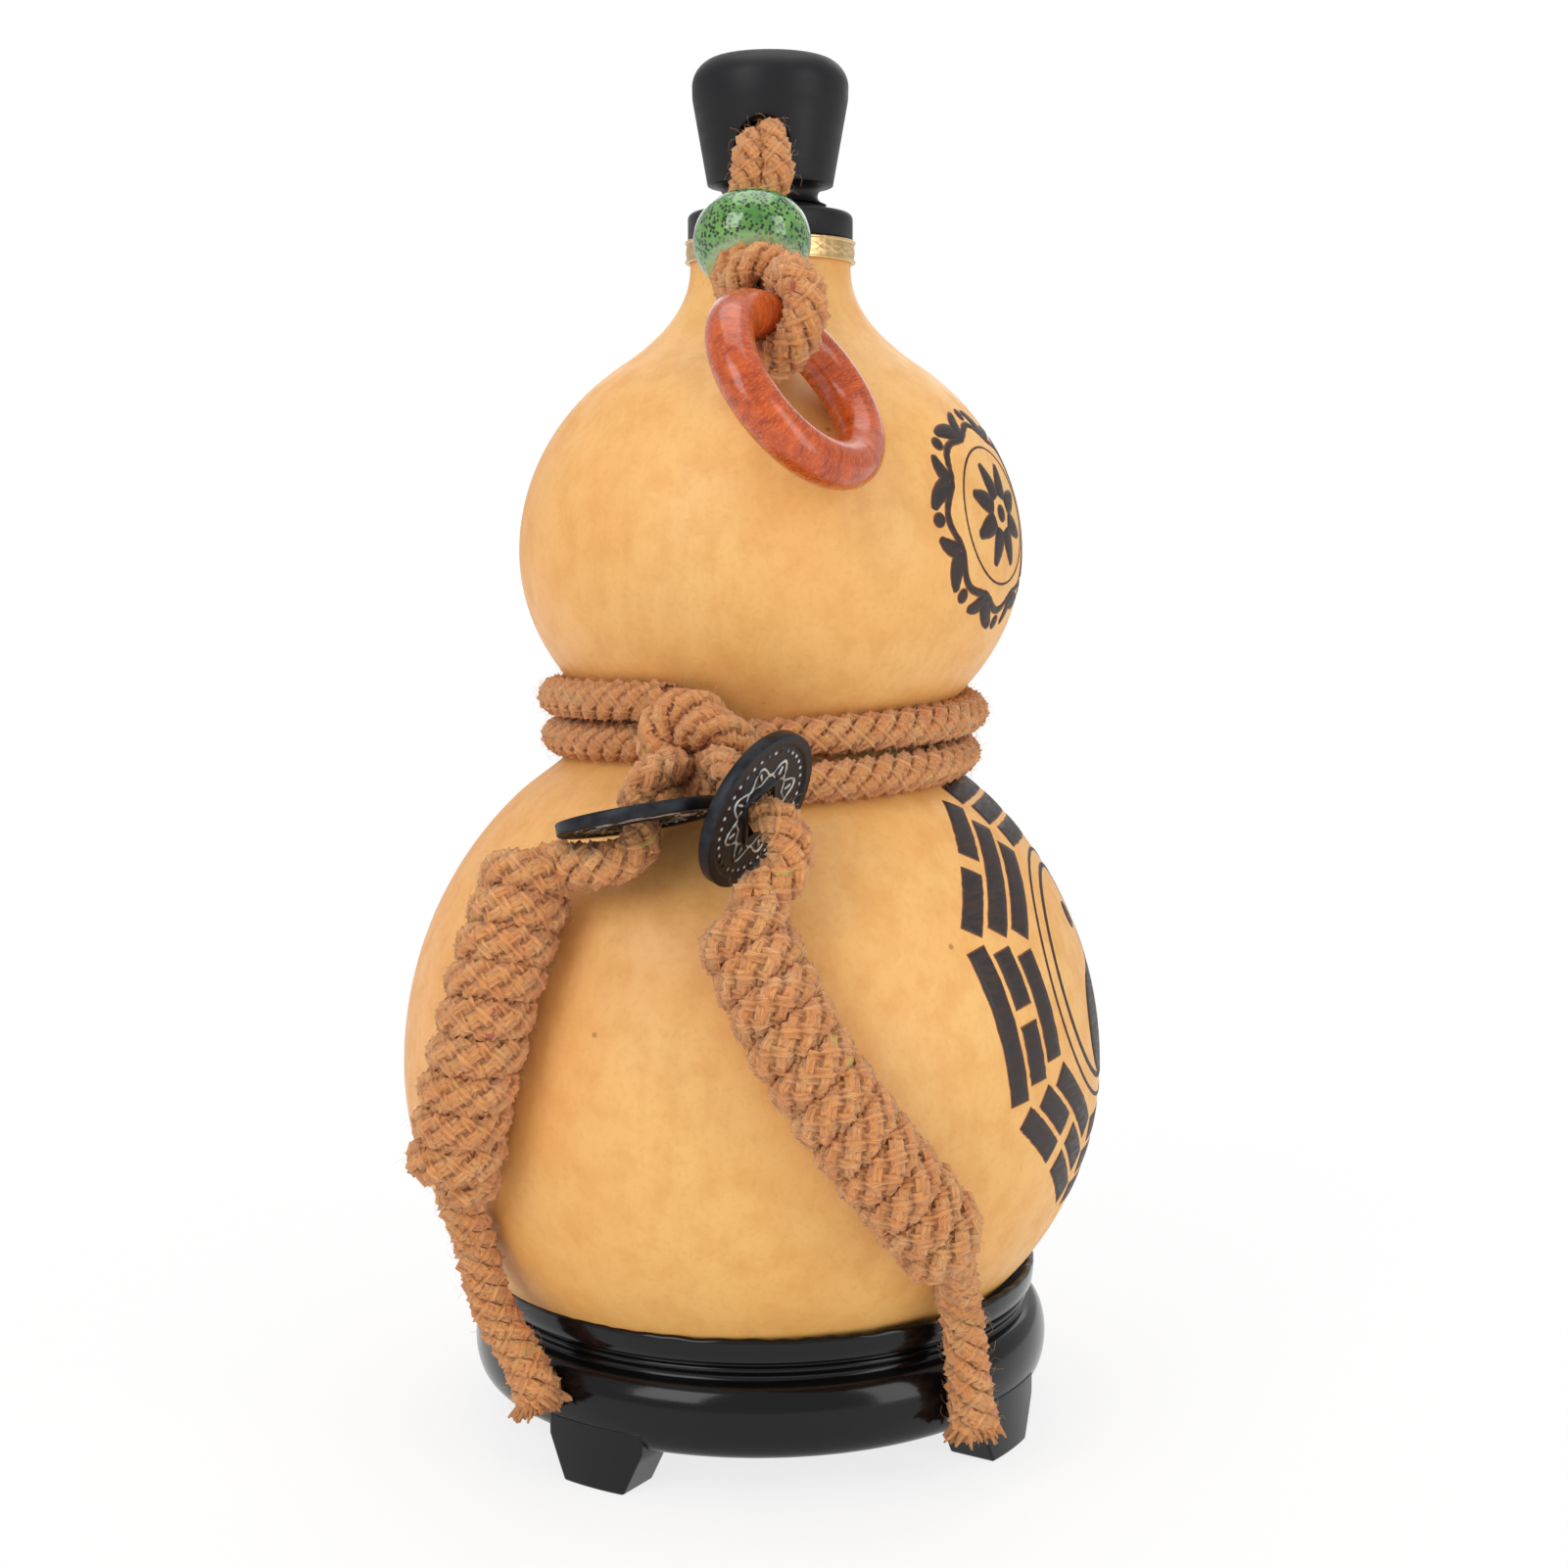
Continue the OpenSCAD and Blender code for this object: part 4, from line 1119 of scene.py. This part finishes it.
def fibre_tree():
    """Short bent fibres standing on a surface at random, as a tree of nodes."""
    tree = bpy.data.node_groups.new("fibres", "GeometryNodeTree")
    sockets = {
        "Geometry": "Geometry", "Fibres per square metre": "Float", "Length": "Float", "Thickness": "Float",
        "Lean": "Float", "Seed": "Int", "Material": "Material",
    }
    for label, kind in sockets.items():
        tree.interface.new_socket(label, in_out="INPUT", socket_type="NodeSocket" + kind)
    tree.interface.new_socket("Geometry", in_out="OUTPUT", socket_type="NodeSocketGeometry")

    def add(kind, inputs=None, **settings):
        return tree_node(tree, kind, inputs, **settings).outputs

    given = add("NodeGroupInput")
    spread = add("GeometryNodeDistributePointsOnFaces", {
        "Mesh": given["Geometry"], "Density": given["Fibres per square metre"], "Seed": given["Seed"],
    })
    bend = add("GeometryNodeCurveQuadraticBezier", {
        "Resolution": 3, "Start": (0, 0, 0), "Middle": (-0.1, 0.1, 0.7), "End": (0.8, 0.2, 0.35),
    })
    thin = add("ShaderNodeMath", {0: given["Thickness"], 1: given["Length"]}, operation="DIVIDE")
    ring = add("GeometryNodeCurvePrimitiveCircle", {"Resolution": 3, "Radius": thin[0]})
    fibre = add("GeometryNodeCurveToMesh", {"Curve": bend[0], "Profile Curve": ring[0], "Fill Caps": True})
    lean = add("ShaderNodeCombineXYZ", {0: given["Lean"], 1: given["Lean"], 2: math.pi})
    back = add("ShaderNodeVectorMath", {0: lean[0], 1: (-1, -1, -1)}, operation="MULTIPLY")
    turn = add("FunctionNodeRandomValue", {"Min": back[0], "Max": lean[0], "Seed": given["Seed"]},
               data_type="FLOAT_VECTOR")
    as_turn = add("FunctionNodeEulerToRotation", {0: turn["Value"]})
    facing = add("FunctionNodeRotateRotation", {0: spread["Rotation"], 1: as_turn[0]},
                 rotation_space="LOCAL")
    size = add("FunctionNodeRandomValue", {2: 0.4, 3: 1.0, "Seed": given["Seed"]}, data_type="FLOAT")
    longer = add("ShaderNodeMath", {0: size[1], 1: given["Length"]}, operation="MULTIPLY")
    placed = add("GeometryNodeInstanceOnPoints", {
        "Points": spread["Points"], "Instance": fibre[0], "Rotation": facing[0], "Scale": longer[0],
    })
    real = add("GeometryNodeRealizeInstances", {0: placed[0]})
    done = add("GeometryNodeSetMaterial", {"Geometry": real[0], "Material": given["Material"]})
    add("NodeGroupOutput", {0: done[0]})
    return tree


def run_tree(tree, source, name, values):
    """Runs a tree on a copy of a mesh object and returns the result as a plain mesh object."""
    base = bpy.data.objects.new(name + "_base", source.data.copy())
    bpy.context.scene.collection.objects.link(base)
    modifier = base.modifiers.new("nodes", "NODES")
    modifier.node_group = tree
    for item in tree.interface.items_tree:
        if item.in_out == "INPUT" and item.name in values:
            modifier[item.identifier] = values[item.name]
    bpy.context.view_layer.update()
    shaped = base.evaluated_get(bpy.context.evaluated_depsgraph_get())
    mesh = bpy.data.meshes.new_from_object(shaped)
    mesh.name = name
    base.modifiers.remove(modifier)
    bpy.data.objects.remove(base)
    if not len(mesh.polygons):
        raise RuntimeError(f"{name} came out empty")
    piece = bpy.data.objects.new(name, mesh)
    bpy.context.scene.collection.objects.link(piece)
    return piece


def add_fuzz(name, source, body, settings, seed):
    """Loose fibres standing off a cord."""
    lean, thickness = 1.2, 0.019
    tree = bpy.data.node_groups.get("fibres") or fibre_tree()
    piece = run_tree(tree, source, name, {
        "Fibres per square metre": settings.fuzz_density * 1e4,
        "Length": settings.fuzz_length,
        "Thickness": thickness * MM,
        "Lean": lean,
        "Seed": seed,
        "Material": shared("fuzz", fibre_pale, to_bytes(settings.fuzz_colour)),
    })
    return ride(piece, body, "cord")


def loose_yarn(rng, end, frame_of_end, tufts, reach):
    """Path of one yarn out of a cut end, drawn to the nearest of the tufts."""
    away, side, other = frame_of_end
    a = rng.random() * TURN
    r = reach * math.sqrt(rng.random())
    start = end - 1.5 * away + r * (math.cos(a) * side + math.sin(a) * other)
    tuft = min(tufts, key=lambda g: abs(math.remainder(a - g, TURN)))
    out = math.cos(tuft) * side + math.sin(tuft) * other
    length = 4.2 * (0.55 + 0.45 * rng.random())
    drift = rng.normal(0, 0.24, 3)
    tip = start + length * unit(away + 0.42 * out + 0.12 * (start - end) + drift)
    middle = (start + tip) / 2 + rng.normal(0, 0.35, 3)
    t = np.linspace(0, 1, 7)[:, None]
    return (1 - t) ** 2 * start + 2 * t * (1 - t) * middle + t * t * tip


def add_fray(name, path, radius, body, material, seed):
    """The splayed yarns of a cut cord's end, bunched in a few tufts."""
    yarns, bunches, sides, rows = 120, 3, 5, 7
    rng = np.random.default_rng(seed)
    end = path[-1, :3]
    away = unit(end - path[-8, :3])
    side = unit(np.cross(away, (0.2, 0.9, 0.4)))
    other = np.cross(away, side)
    tufts = [TURN * (k + 0.3 * rng.random()) / bunches for k in range(bunches)]
    thick = (0.48 * (1 - 0.6 * np.linspace(0, 1, rows) ** 3))[:, None, None]
    g = around(sides)[:, None]
    u = np.tile(np.arange(sides) / sides, rows)
    v = np.repeat(np.arange(rows) * 0.12, sides)
    points, faces, uvs = [], [], []
    for k in range(yarns):
        line = loose_yarn(rng, end, (away, side, other), tufts, radius * 0.82)
        _, n, b = path_frames(line, side)
        ring = line[:, None, :] + thick * (np.cos(g) * n[:, None, :] + np.sin(g) * b[:, None, :])
        points.append(ring.reshape(-1, 3))
        base = k * rows * sides
        faces += (grid_faces(rows, sides, close_columns=True) + base).tolist()
        faces.append([base + (rows - 1) * sides + j for j in range(sides)])
        uvs.append(np.stack([u + k, v], -1))
    piece = make_mesh(name, np.concatenate(points), faces, material, np.concatenate(uvs))
    # One even height, high enough that the fray gets no painted shade
    paint(piece, "painted_shade_height", np.full(len(piece.data.vertices), 0.7))
    clean(piece, 0.0005)
    return ride(piece, body, "cord")


def waist_ride(z, side, rope):
    """Distance from the vertical axis at which a cord touches the waist, at a height and on a side."""
    t = np.radians(np.linspace(-85, 85, 35))
    at = z + rope * np.sin(t)
    return float(np.max(gourd_radius(at) + gourd_axis(at) * math.cos(side) + rope * np.cos(t))) + 0.1


def waist_path(rope):
    """Two turns about the waist, starting and ending behind the knot."""
    knot_side = math.atan2(-42.1, -9.5)
    points = []
    for a in np.arange(8, 712.1, 4.0):
        side = knot_side + math.radians(a)
        z = 125.2 + 7.6 * a / 360 + 0.5 * math.sin(math.radians(a))
        points.append([*(waist_ride(z, side, rope) * heading(side)), z])
    return smooth_path(points, 0.85)


def knot_path(centre, facing, big, small):
    """A closed trefoil about an axis that faces outwards."""
    t = around(260)
    r = big + small * np.cos(3 * t)
    local = np.stack([r * np.cos(2 * t), r * np.sin(2 * t), small * np.sin(3 * t)], -1)
    out = np.array([math.cos(facing), math.sin(facing), 0])
    side = np.array([-out[1], out[0], 0])
    return centre + local[:, :1] * side + local[:, 1:2] * UP + local[:, 2:] * out


def winding_path(axis, pitch, outward):
    """A helix about a curved axis, its ends tucked in against the core, and the axis' direction there."""
    past, reach, core_reach, tuck, steps = 3.4, 5.5, 1.6, 2.0, 72
    axis = np.asarray(axis, float)
    head = axis[0] + past * unit(axis[0] - axis[1])
    foot = axis[-1] + past * unit(axis[-1] - axis[-2])
    line = smooth_path(np.concatenate([[head], axis[1:-1], [foot]]), 0.5)
    s = np.linspace(0, path_length(line), len(line))
    turns = (s[-1] - 2 * tuck) / pitch
    count = int(turns * steps)
    at = np.linspace(tuck, s[-1] - tuck, count)
    middle, t, n, b = (resample(v, s, at) for v in (line, *path_frames(line, outward)))
    a = math.pi + TURN * turns * np.linspace(0, 1, count)
    share = np.clip(np.minimum(np.arange(count), np.arange(count)[::-1]) / 16, 0, 1)
    far = core_reach + (reach - core_reach) * (share * share * (3 - 2 * share))
    wander = 0.12 * np.sin(2.7 * a)
    points = middle + (far + wander)[:, None] * (np.cos(a)[:, None] * n + np.sin(a)[:, None] * b)
    return smooth_path(np.concatenate([points, t], 1), 0.8)


def lanyard_route(full, loop):
    """The doubled lanyard: out of the socket, through the bead, round the ring and back, with its radius."""
    middle, tight = 2.0, 2.1
    apart = np.array([2.3, 0, 0])

    def side(way):
        """One side from the socket, where the two are stacked, to the bead, where they lie abreast."""
        return [(middle + way * x, y, z + way * 0.9 * (2.5 - x), full * thick)
                for x, y, z, thick in LANYARD_SIDE]

    def through(way):
        return [(*(BEAD_AT + d * BEAD_AXIS + way * apart), tight) for d in (8.4, 4, -4, -8.4)]

    return side(1) + through(1) + [(*p, loop) for p in LANYARD_LOOP] + through(-1)[::-1] + side(-1)[::-1]


def tie_path():
    """The short helix that binds the lanyard's loop."""
    centre = np.array([1.4, -33.2, 211.6])
    axis = unit((0.25, -0.72, -0.62))
    reach, turns, rise = 5.0, 1.9, 5.0
    n = unit(np.cross(axis, (1, 0, 0)))
    b = np.cross(axis, n)
    a = TURN * turns * np.linspace(0, 1, int(turns * 60))
    far = reach * (1 - 0.28 * np.abs(np.linspace(-1, 1, len(a))) ** 6)
    return (centre + far[:, None] * (np.cos(a)[:, None] * n * 1.18 + np.sin(a)[:, None] * b * 0.95)
            + ((a / TURN - turns / 2) * rise)[:, None] * axis)


def build_waist(settings, yarn):
    """The cord about the waist and the knot in front."""
    rope = in_mm(settings.waist_radius)
    lay = in_mm(settings.lay)
    knot = np.array([-9.5, -43.6, 131.4])
    cord = add_plait("waist_rope", waist_path(rope), rope, yarn, "gourd", "waist_cord", lay=lay)
    path = knot_path(knot, math.atan2(knot[1], knot[0]), 5.9, 2.7)
    tied = add_plait("knot_rope", path, 3.2, yarn, "gourd", "waist_knot", lay=lay, closed=True)
    add_fuzz("waist_fuzz", cord, "gourd", settings, 3)
    add_fuzz("knot_fuzz", tied, "gourd", settings, 4)


def build_tail(side, settings, yarn):
    """A hanging tail: its cord, the cord wound about it, its frayed end and its fuzz."""
    shape = TAILS[side]
    body = f"{side}_tail"
    radius = in_mm(settings.tail_radius)
    lay = in_mm(settings.lay)
    seed = settings.seed + shape["seed"]
    core = [(*p, CORE_SHARE) for p in shape["axis"]]
    path = smooth_path(shape["route"] + core + shape["end"], 0.8)
    tail = add_plait(f"{side}_tail", path, radius * path[:, 3], yarn, body, f"{side}_tail_cord", lay=lay)
    turns = winding_path(shape["axis"], in_mm(settings.winding_pitch), shape["outward"])
    wound = add_plait(f"{side}_wound", turns, in_mm(settings.winding_radius), yarn, body, f"{side}_winding",
                      lay=lay, wide=settings.winding_spread * unit(turns[:, 3:]))
    fray = add_fray(f"{side}_fray", path, radius * 1.1, body, yarn, seed)
    fuzz = add_fuzz(f"{side}_fuzz", tail, body, settings, seed + 1)
    wound_fuzz = add_fuzz(f"{side}_wound_fuzz", wound, body, settings, seed + 2)


def build_lanyard(settings, yarn):
    """The lanyard, and the cord that binds its loop."""
    radius = in_mm(settings.lanyard_radius)
    lay = in_mm(settings.lay) * 0.8
    route = smooth_path(lanyard_route(radius, in_mm(settings.loop_radius)), 0.7)
    cord = add_plait("lanyard_rope", route, route[:, 3], yarn, "lanyard", "lanyard_cord", lay=lay)
    tie = add_plait("lanyard_tie", tie_path(), 3.0, yarn, "lanyard", lay=lay)
    fuzz = add_fuzz("lanyard_fuzz", cord, "lanyard", settings, 31)
    tie_fuzz = add_fuzz("tie_fuzz", tie, "lanyard", settings, 32)


# Stage


def add_lamp(name, place, size, watts):
    """A soft lamp that faces the flask's middle; sizes are in metres."""
    lamp = bpy.data.lights.new(name, "AREA")
    lamp.shape = "RECTANGLE"
    lamp.size, lamp.size_y = size
    lamp.energy = watts
    holder = bpy.data.objects.new(name, lamp)
    bpy.context.scene.collection.objects.link(holder)
    holder.location = place
    way = np.array([0, 0, 0.13]) - place
    down = math.atan2(math.hypot(way[0], way[1]), -way[2])
    holder.rotation_euler = (down, 0, math.atan2(way[1], way[0]) - TURN / 4)


def build_world(light):
    """Even light from all around, white where the camera sees it."""
    world = bpy.data.worlds.new("studio")
    bpy.context.scene.world = world
    world.use_nodes = True
    tree = world.node_tree
    tree.nodes.clear()
    white = (1, 1, 1, 1)
    lit = tree_node(tree, "ShaderNodeBackground", {"Color": white, "Strength": light})
    seen = tree_node(tree, "ShaderNodeBackground", {"Color": white})
    rays = tree_node(tree, "ShaderNodeLightPath").outputs["Is Camera Ray"]
    mixed = tree_node(tree, "ShaderNodeMixShader", {0: rays, 1: lit.outputs[0], 2: seen.outputs[0]})
    tree_node(tree, "ShaderNodeOutputWorld", {"Surface": mixed.outputs[0]})


def build_camera():
    """The view from the front, a little above the middle; places are in metres."""
    camera = bpy.data.cameras.new("camera")
    camera.lens, camera.sensor_width = 54.19, 36.0
    holder = bpy.data.objects.new("camera", camera)
    bpy.context.scene.collection.objects.link(holder)
    holder.location = (0.0016, -0.450, 0.1734)
    holder.rotation_euler = (math.radians(90 - 6.64), 0, -math.radians(0.58))
    bpy.context.scene.camera = holder


def build_stage(settings):
    """The floor, the lamps, the world and the camera."""
    size = 3000.0
    corners = [(-size, -size, 0), (size, -size, 0), (size, size, 0), (-size, size, 0)]
    make_mesh("floor", corners, [[0, 1, 2, 3]], shared("floor_white", floor_white), smooth=False)
    build_world(settings.world_light)
    add_lamp("key", (-0.55, -0.75, 0.62), (0.5, 0.7), settings.key_watts)
    add_lamp("fill", (0.75, -0.55, 0.38), (0.35, 0.8), settings.fill_watts)
    add_lamp("top", (0.0, 0.05, 0.95), (0.7, 0.7), settings.top_watts)
    add_lamp("back", (0.1, 0.8, 0.6), (0.9, 0.5), settings.top_watts * 0.5)
    build_camera()
    bpy.context.scene.view_settings.view_transform = "Standard"


# Settings


def number_setting(name, description, default, low, high, **kind):
    return FloatProperty(name=name, description=description, default=default, min=low, max=high, **kind)


def share_setting(name, description, default):
    return number_setting(name, description, default, 0, 1, subtype="FACTOR")


def length_setting(name, description, default, low, high):
    """A length that is given in millimetres and kept in metres."""
    return number_setting(name, description, default * MM, low * MM, high * MM, unit="LENGTH", precision=5)


def angle_setting(name, description, default, low, high):
    """An angle that is given in degrees and kept in radians."""
    low, default, high = (math.radians(v) for v in (low, default, high))
    return number_setting(name, description, default, low, high, subtype="ANGLE")


def colour_setting(name, description, default):
    return FloatVectorProperty(name=name, description=description, default=linear(default)[:3], min=0, max=1,
                               size=3, subtype="COLOR")


class FlaskGourdSettings(bpy.types.PropertyGroup):
    skin_colour: colour_setting("Skin", "Colour of the dried skin", (238, 186, 114))
    belly_azimuth: angle_setting("Trigrams turn", "Way the trigrams face, from the right", -10.5, -180, 180)
    belly_height: length_setting("Trigrams height", "Height of the trigrams' middle", 88.5, 50, 100)
    crown_azimuth: angle_setting("Wreath turn", "Way the wreath faces, from the right", -27.0, -180, 180)
    crown_height: length_setting("Wreath height", "Height of the wreath's middle", 172.0, 150, 190)
    scorch: length_setting("Scorched edge", "How far the brown edge reaches past the ink", 0.28, 0, 0.8)


class FlaskMouthSettings(bpy.types.PropertyGroup):
    dark_colour: colour_setting("Stopper", "Colour of the stopper and the flange", (24, 24, 27))
    dark_roughness: share_setting("Stopper roughness", "Roughness of the satin plastic", 0.42)
    brass_colour: colour_setting("Band", "Colour of the brass band", (236, 204, 150))
    seal_colour: colour_setting("Seals", "Colour of the rubber seals", (205, 204, 200))


class FlaskStandSettings(bpy.types.PropertyGroup):
    stand_colour: colour_setting("Stand", "Colour of the stand's plastic", (12, 12, 14))
    stand_roughness: share_setting("Stand roughness", "Roughness of the glossy plastic", 0.16)
    foot_turn: angle_setting("Feet turn", "Turn of the first foot away from the front", 33.0, 0, 60)


class FlaskTrinketSettings(bpy.types.PropertyGroup):
    bead_colour: colour_setting("Bead", "Colour of the bead's glaze", (112, 164, 78))
    ring_colour: colour_setting("Ring", "Colour of the ring's wood", (208, 90, 30))
    coin_colour: colour_setting("Coins", "Colour of the coins' iron", (32, 34, 39))


class FlaskCordSettings(bpy.types.PropertyGroup):
    yarn_colour: colour_setting("Yarn", "Colour of the cord's yarn", (255, 178, 106))
    fuzz_colour: colour_setting("Fuzz", "Colour of the loose fibres", (232, 180, 128))
    waist_radius: length_setting("Waist cord radius", "Radius of the waist cord", 3.55, 3, 4.5)
    tail_radius: length_setting("Tail radius", "Radius of the tails' cord", 3.8, 3, 4.5)
    winding_radius: length_setting("Winding radius", "Radius of the wound cord", 3.0, 2.4, 3.6)
    winding_spread: share_setting("Winding spread", "How much wider than thick the wound cord lies", 0.30)
    winding_pitch: length_setting("Winding pitch", "Distance between two turns", 6.2, 5, 8)
    lanyard_radius: length_setting("Lanyard radius", "Radius of the lanyard's cord", 3.2, 2, 3.5)
    loop_radius: length_setting("Loop radius", "Radius of the cord round the ring", 3.9, 2, 4.5)
    lay: length_setting("Lay length", "Length of one full turn of a strand", 17.0, 10, 30)
    fuzz_density: number_setting("Fuzz", "Loose fibres on a square centimetre of cord", 14.0, 1, 200)
    fuzz_length: length_setting("Fuzz length", "Length of the loose fibres", 3.2, 0.3, 4)
    seed: IntProperty(name="Seed", description="Seed of the frayed ends", default=11, min=0, max=999)


class FlaskStageSettings(bpy.types.PropertyGroup):
    world_light: number_setting("Surrounding light", "Strength of the light from all around", 0.58, 0, 2)
    key_watts: number_setting("Key lamp", "Power of the lamp at the left front", 4.0, 0, 100, unit="POWER")
    fill_watts: number_setting("Fill lamp", "Power of the lamp at the right front", 2.5, 0, 100, unit="POWER")
    top_watts: number_setting("Top lamp", "Power of the lamp above", 2.6, 0, 100, unit="POWER")


# Operators


class FLASK_OT_gourd(bpy.types.Operator):
    """Builds the gourd and the designs burnt into its skin"""

    bl_idname = "flask.gourd"
    bl_label = "Gourd"

    def execute(self, context):
        settings = context.scene.flask_gourd
        build_gourd(settings)
        build_designs(settings)
        return {"FINISHED"}


class FLASK_OT_mouth(bpy.types.Operator):
    """Builds the flange, the band, the stopper and its seals"""

    bl_idname = "flask.mouth"
    bl_label = "Mouth and stopper"

    def execute(self, context):
        settings = context.scene.flask_mouth
        dark = shared("dark_plastic", plain_plastic, to_bytes(settings.dark_colour), settings.dark_roughness)
        build_collar(dark)
        build_band(settings)
        build_stopper(dark)
        build_seals(settings)
        return {"FINISHED"}


class FLASK_OT_stand(bpy.types.Operator):
    """Builds the stand with its four feet"""

    bl_idname = "flask.stand"
    bl_label = "Stand"

    def execute(self, context):
        settings = context.scene.flask_stand
        gloss = shared("stand_plastic", plain_plastic, to_bytes(settings.stand_colour),
                       settings.stand_roughness, 0.1)
        build_bowl(gloss)
        build_feet(gloss, settings.foot_turn)
        return {"FINISHED"}


class FLASK_OT_trinkets(bpy.types.Operator):
    """Builds the bead, the pull ring and the two coins"""

    bl_idname = "flask.trinkets"
    bl_label = "Bead, ring and coins"

    def execute(self, context):
        settings = context.scene.flask_trinkets
        build_bead(settings)
        build_ring(settings)
        for side in COINS:
            build_coin(side, settings)
        return {"FINISHED"}


class FLASK_OT_cords(bpy.types.Operator):
    """Plaits the waist cord, the knot, the wound tails and the lanyard"""

    bl_idname = "flask.cords"
    bl_label = "Cords"

    def execute(self, context):
        settings = context.scene.flask_cords
        yarn = shared("cord", cord_yarn, to_bytes(settings.yarn_colour))
        build_waist(settings, yarn)
        for side in TAILS:
            build_tail(side, settings, yarn)
        build_lanyard(settings, yarn)
        return {"FINISHED"}


class FLASK_OT_stage(bpy.types.Operator):
    """Sets up the floor, the lamps, the world and the camera"""

    bl_idname = "flask.stage"
    bl_label = "Stage"

    def execute(self, context):
        build_stage(context.scene.flask_stage)
        return {"FINISHED"}


OPERATORS = [
    FLASK_OT_gourd, FLASK_OT_mouth, FLASK_OT_stand, FLASK_OT_trinkets, FLASK_OT_cords, FLASK_OT_stage,
]
SETTINGS = {
    "flask_gourd": FlaskGourdSettings,
    "flask_mouth": FlaskMouthSettings,
    "flask_stand": FlaskStandSettings,
    "flask_trinkets": FlaskTrinketSettings,
    "flask_cords": FlaskCordSettings,
    "flask_stage": FlaskStageSettings,
}


class FLASK_PT_panel(bpy.types.Panel):
    """The flask's settings and builders"""

    bl_idname = "FLASK_PT_panel"
    bl_label = "Gourd flask"
    bl_space_type = "VIEW_3D"
    bl_region_type = "UI"
    bl_category = "Gourd flask"

    def draw(self, context):
        for operator, (name, group) in zip(OPERATORS, SETTINGS.items()):
            box = self.layout.box()
            for key in group.__annotations__:
                box.prop(getattr(context.scene, name), key)
            box.operator(operator.bl_idname)


def register():
    for group in SETTINGS.values():
        bpy.utils.register_class(group)
    for name, group in SETTINGS.items():
        setattr(bpy.types.Scene, name, PointerProperty(type=group))
    for operator in OPERATORS:
        bpy.utils.register_class(operator)
    bpy.utils.register_class(FLASK_PT_panel)


def unregister():
    bpy.utils.unregister_class(FLASK_PT_panel)
    for operator in reversed(OPERATORS):
        bpy.utils.unregister_class(operator)
    for name in SETTINGS:
        delattr(bpy.types.Scene, name)
    for group in reversed(list(SETTINGS.values())):
        bpy.utils.unregister_class(group)


def main():
    register()
    for name in ("gourd", "mouth", "stand", "trinkets", "cords", "stage"):
        if getattr(bpy.ops.flask, name)() != {"FINISHED"}:
            raise RuntimeError(f"{name} was not built")


if __name__ == "__main__":
    main()
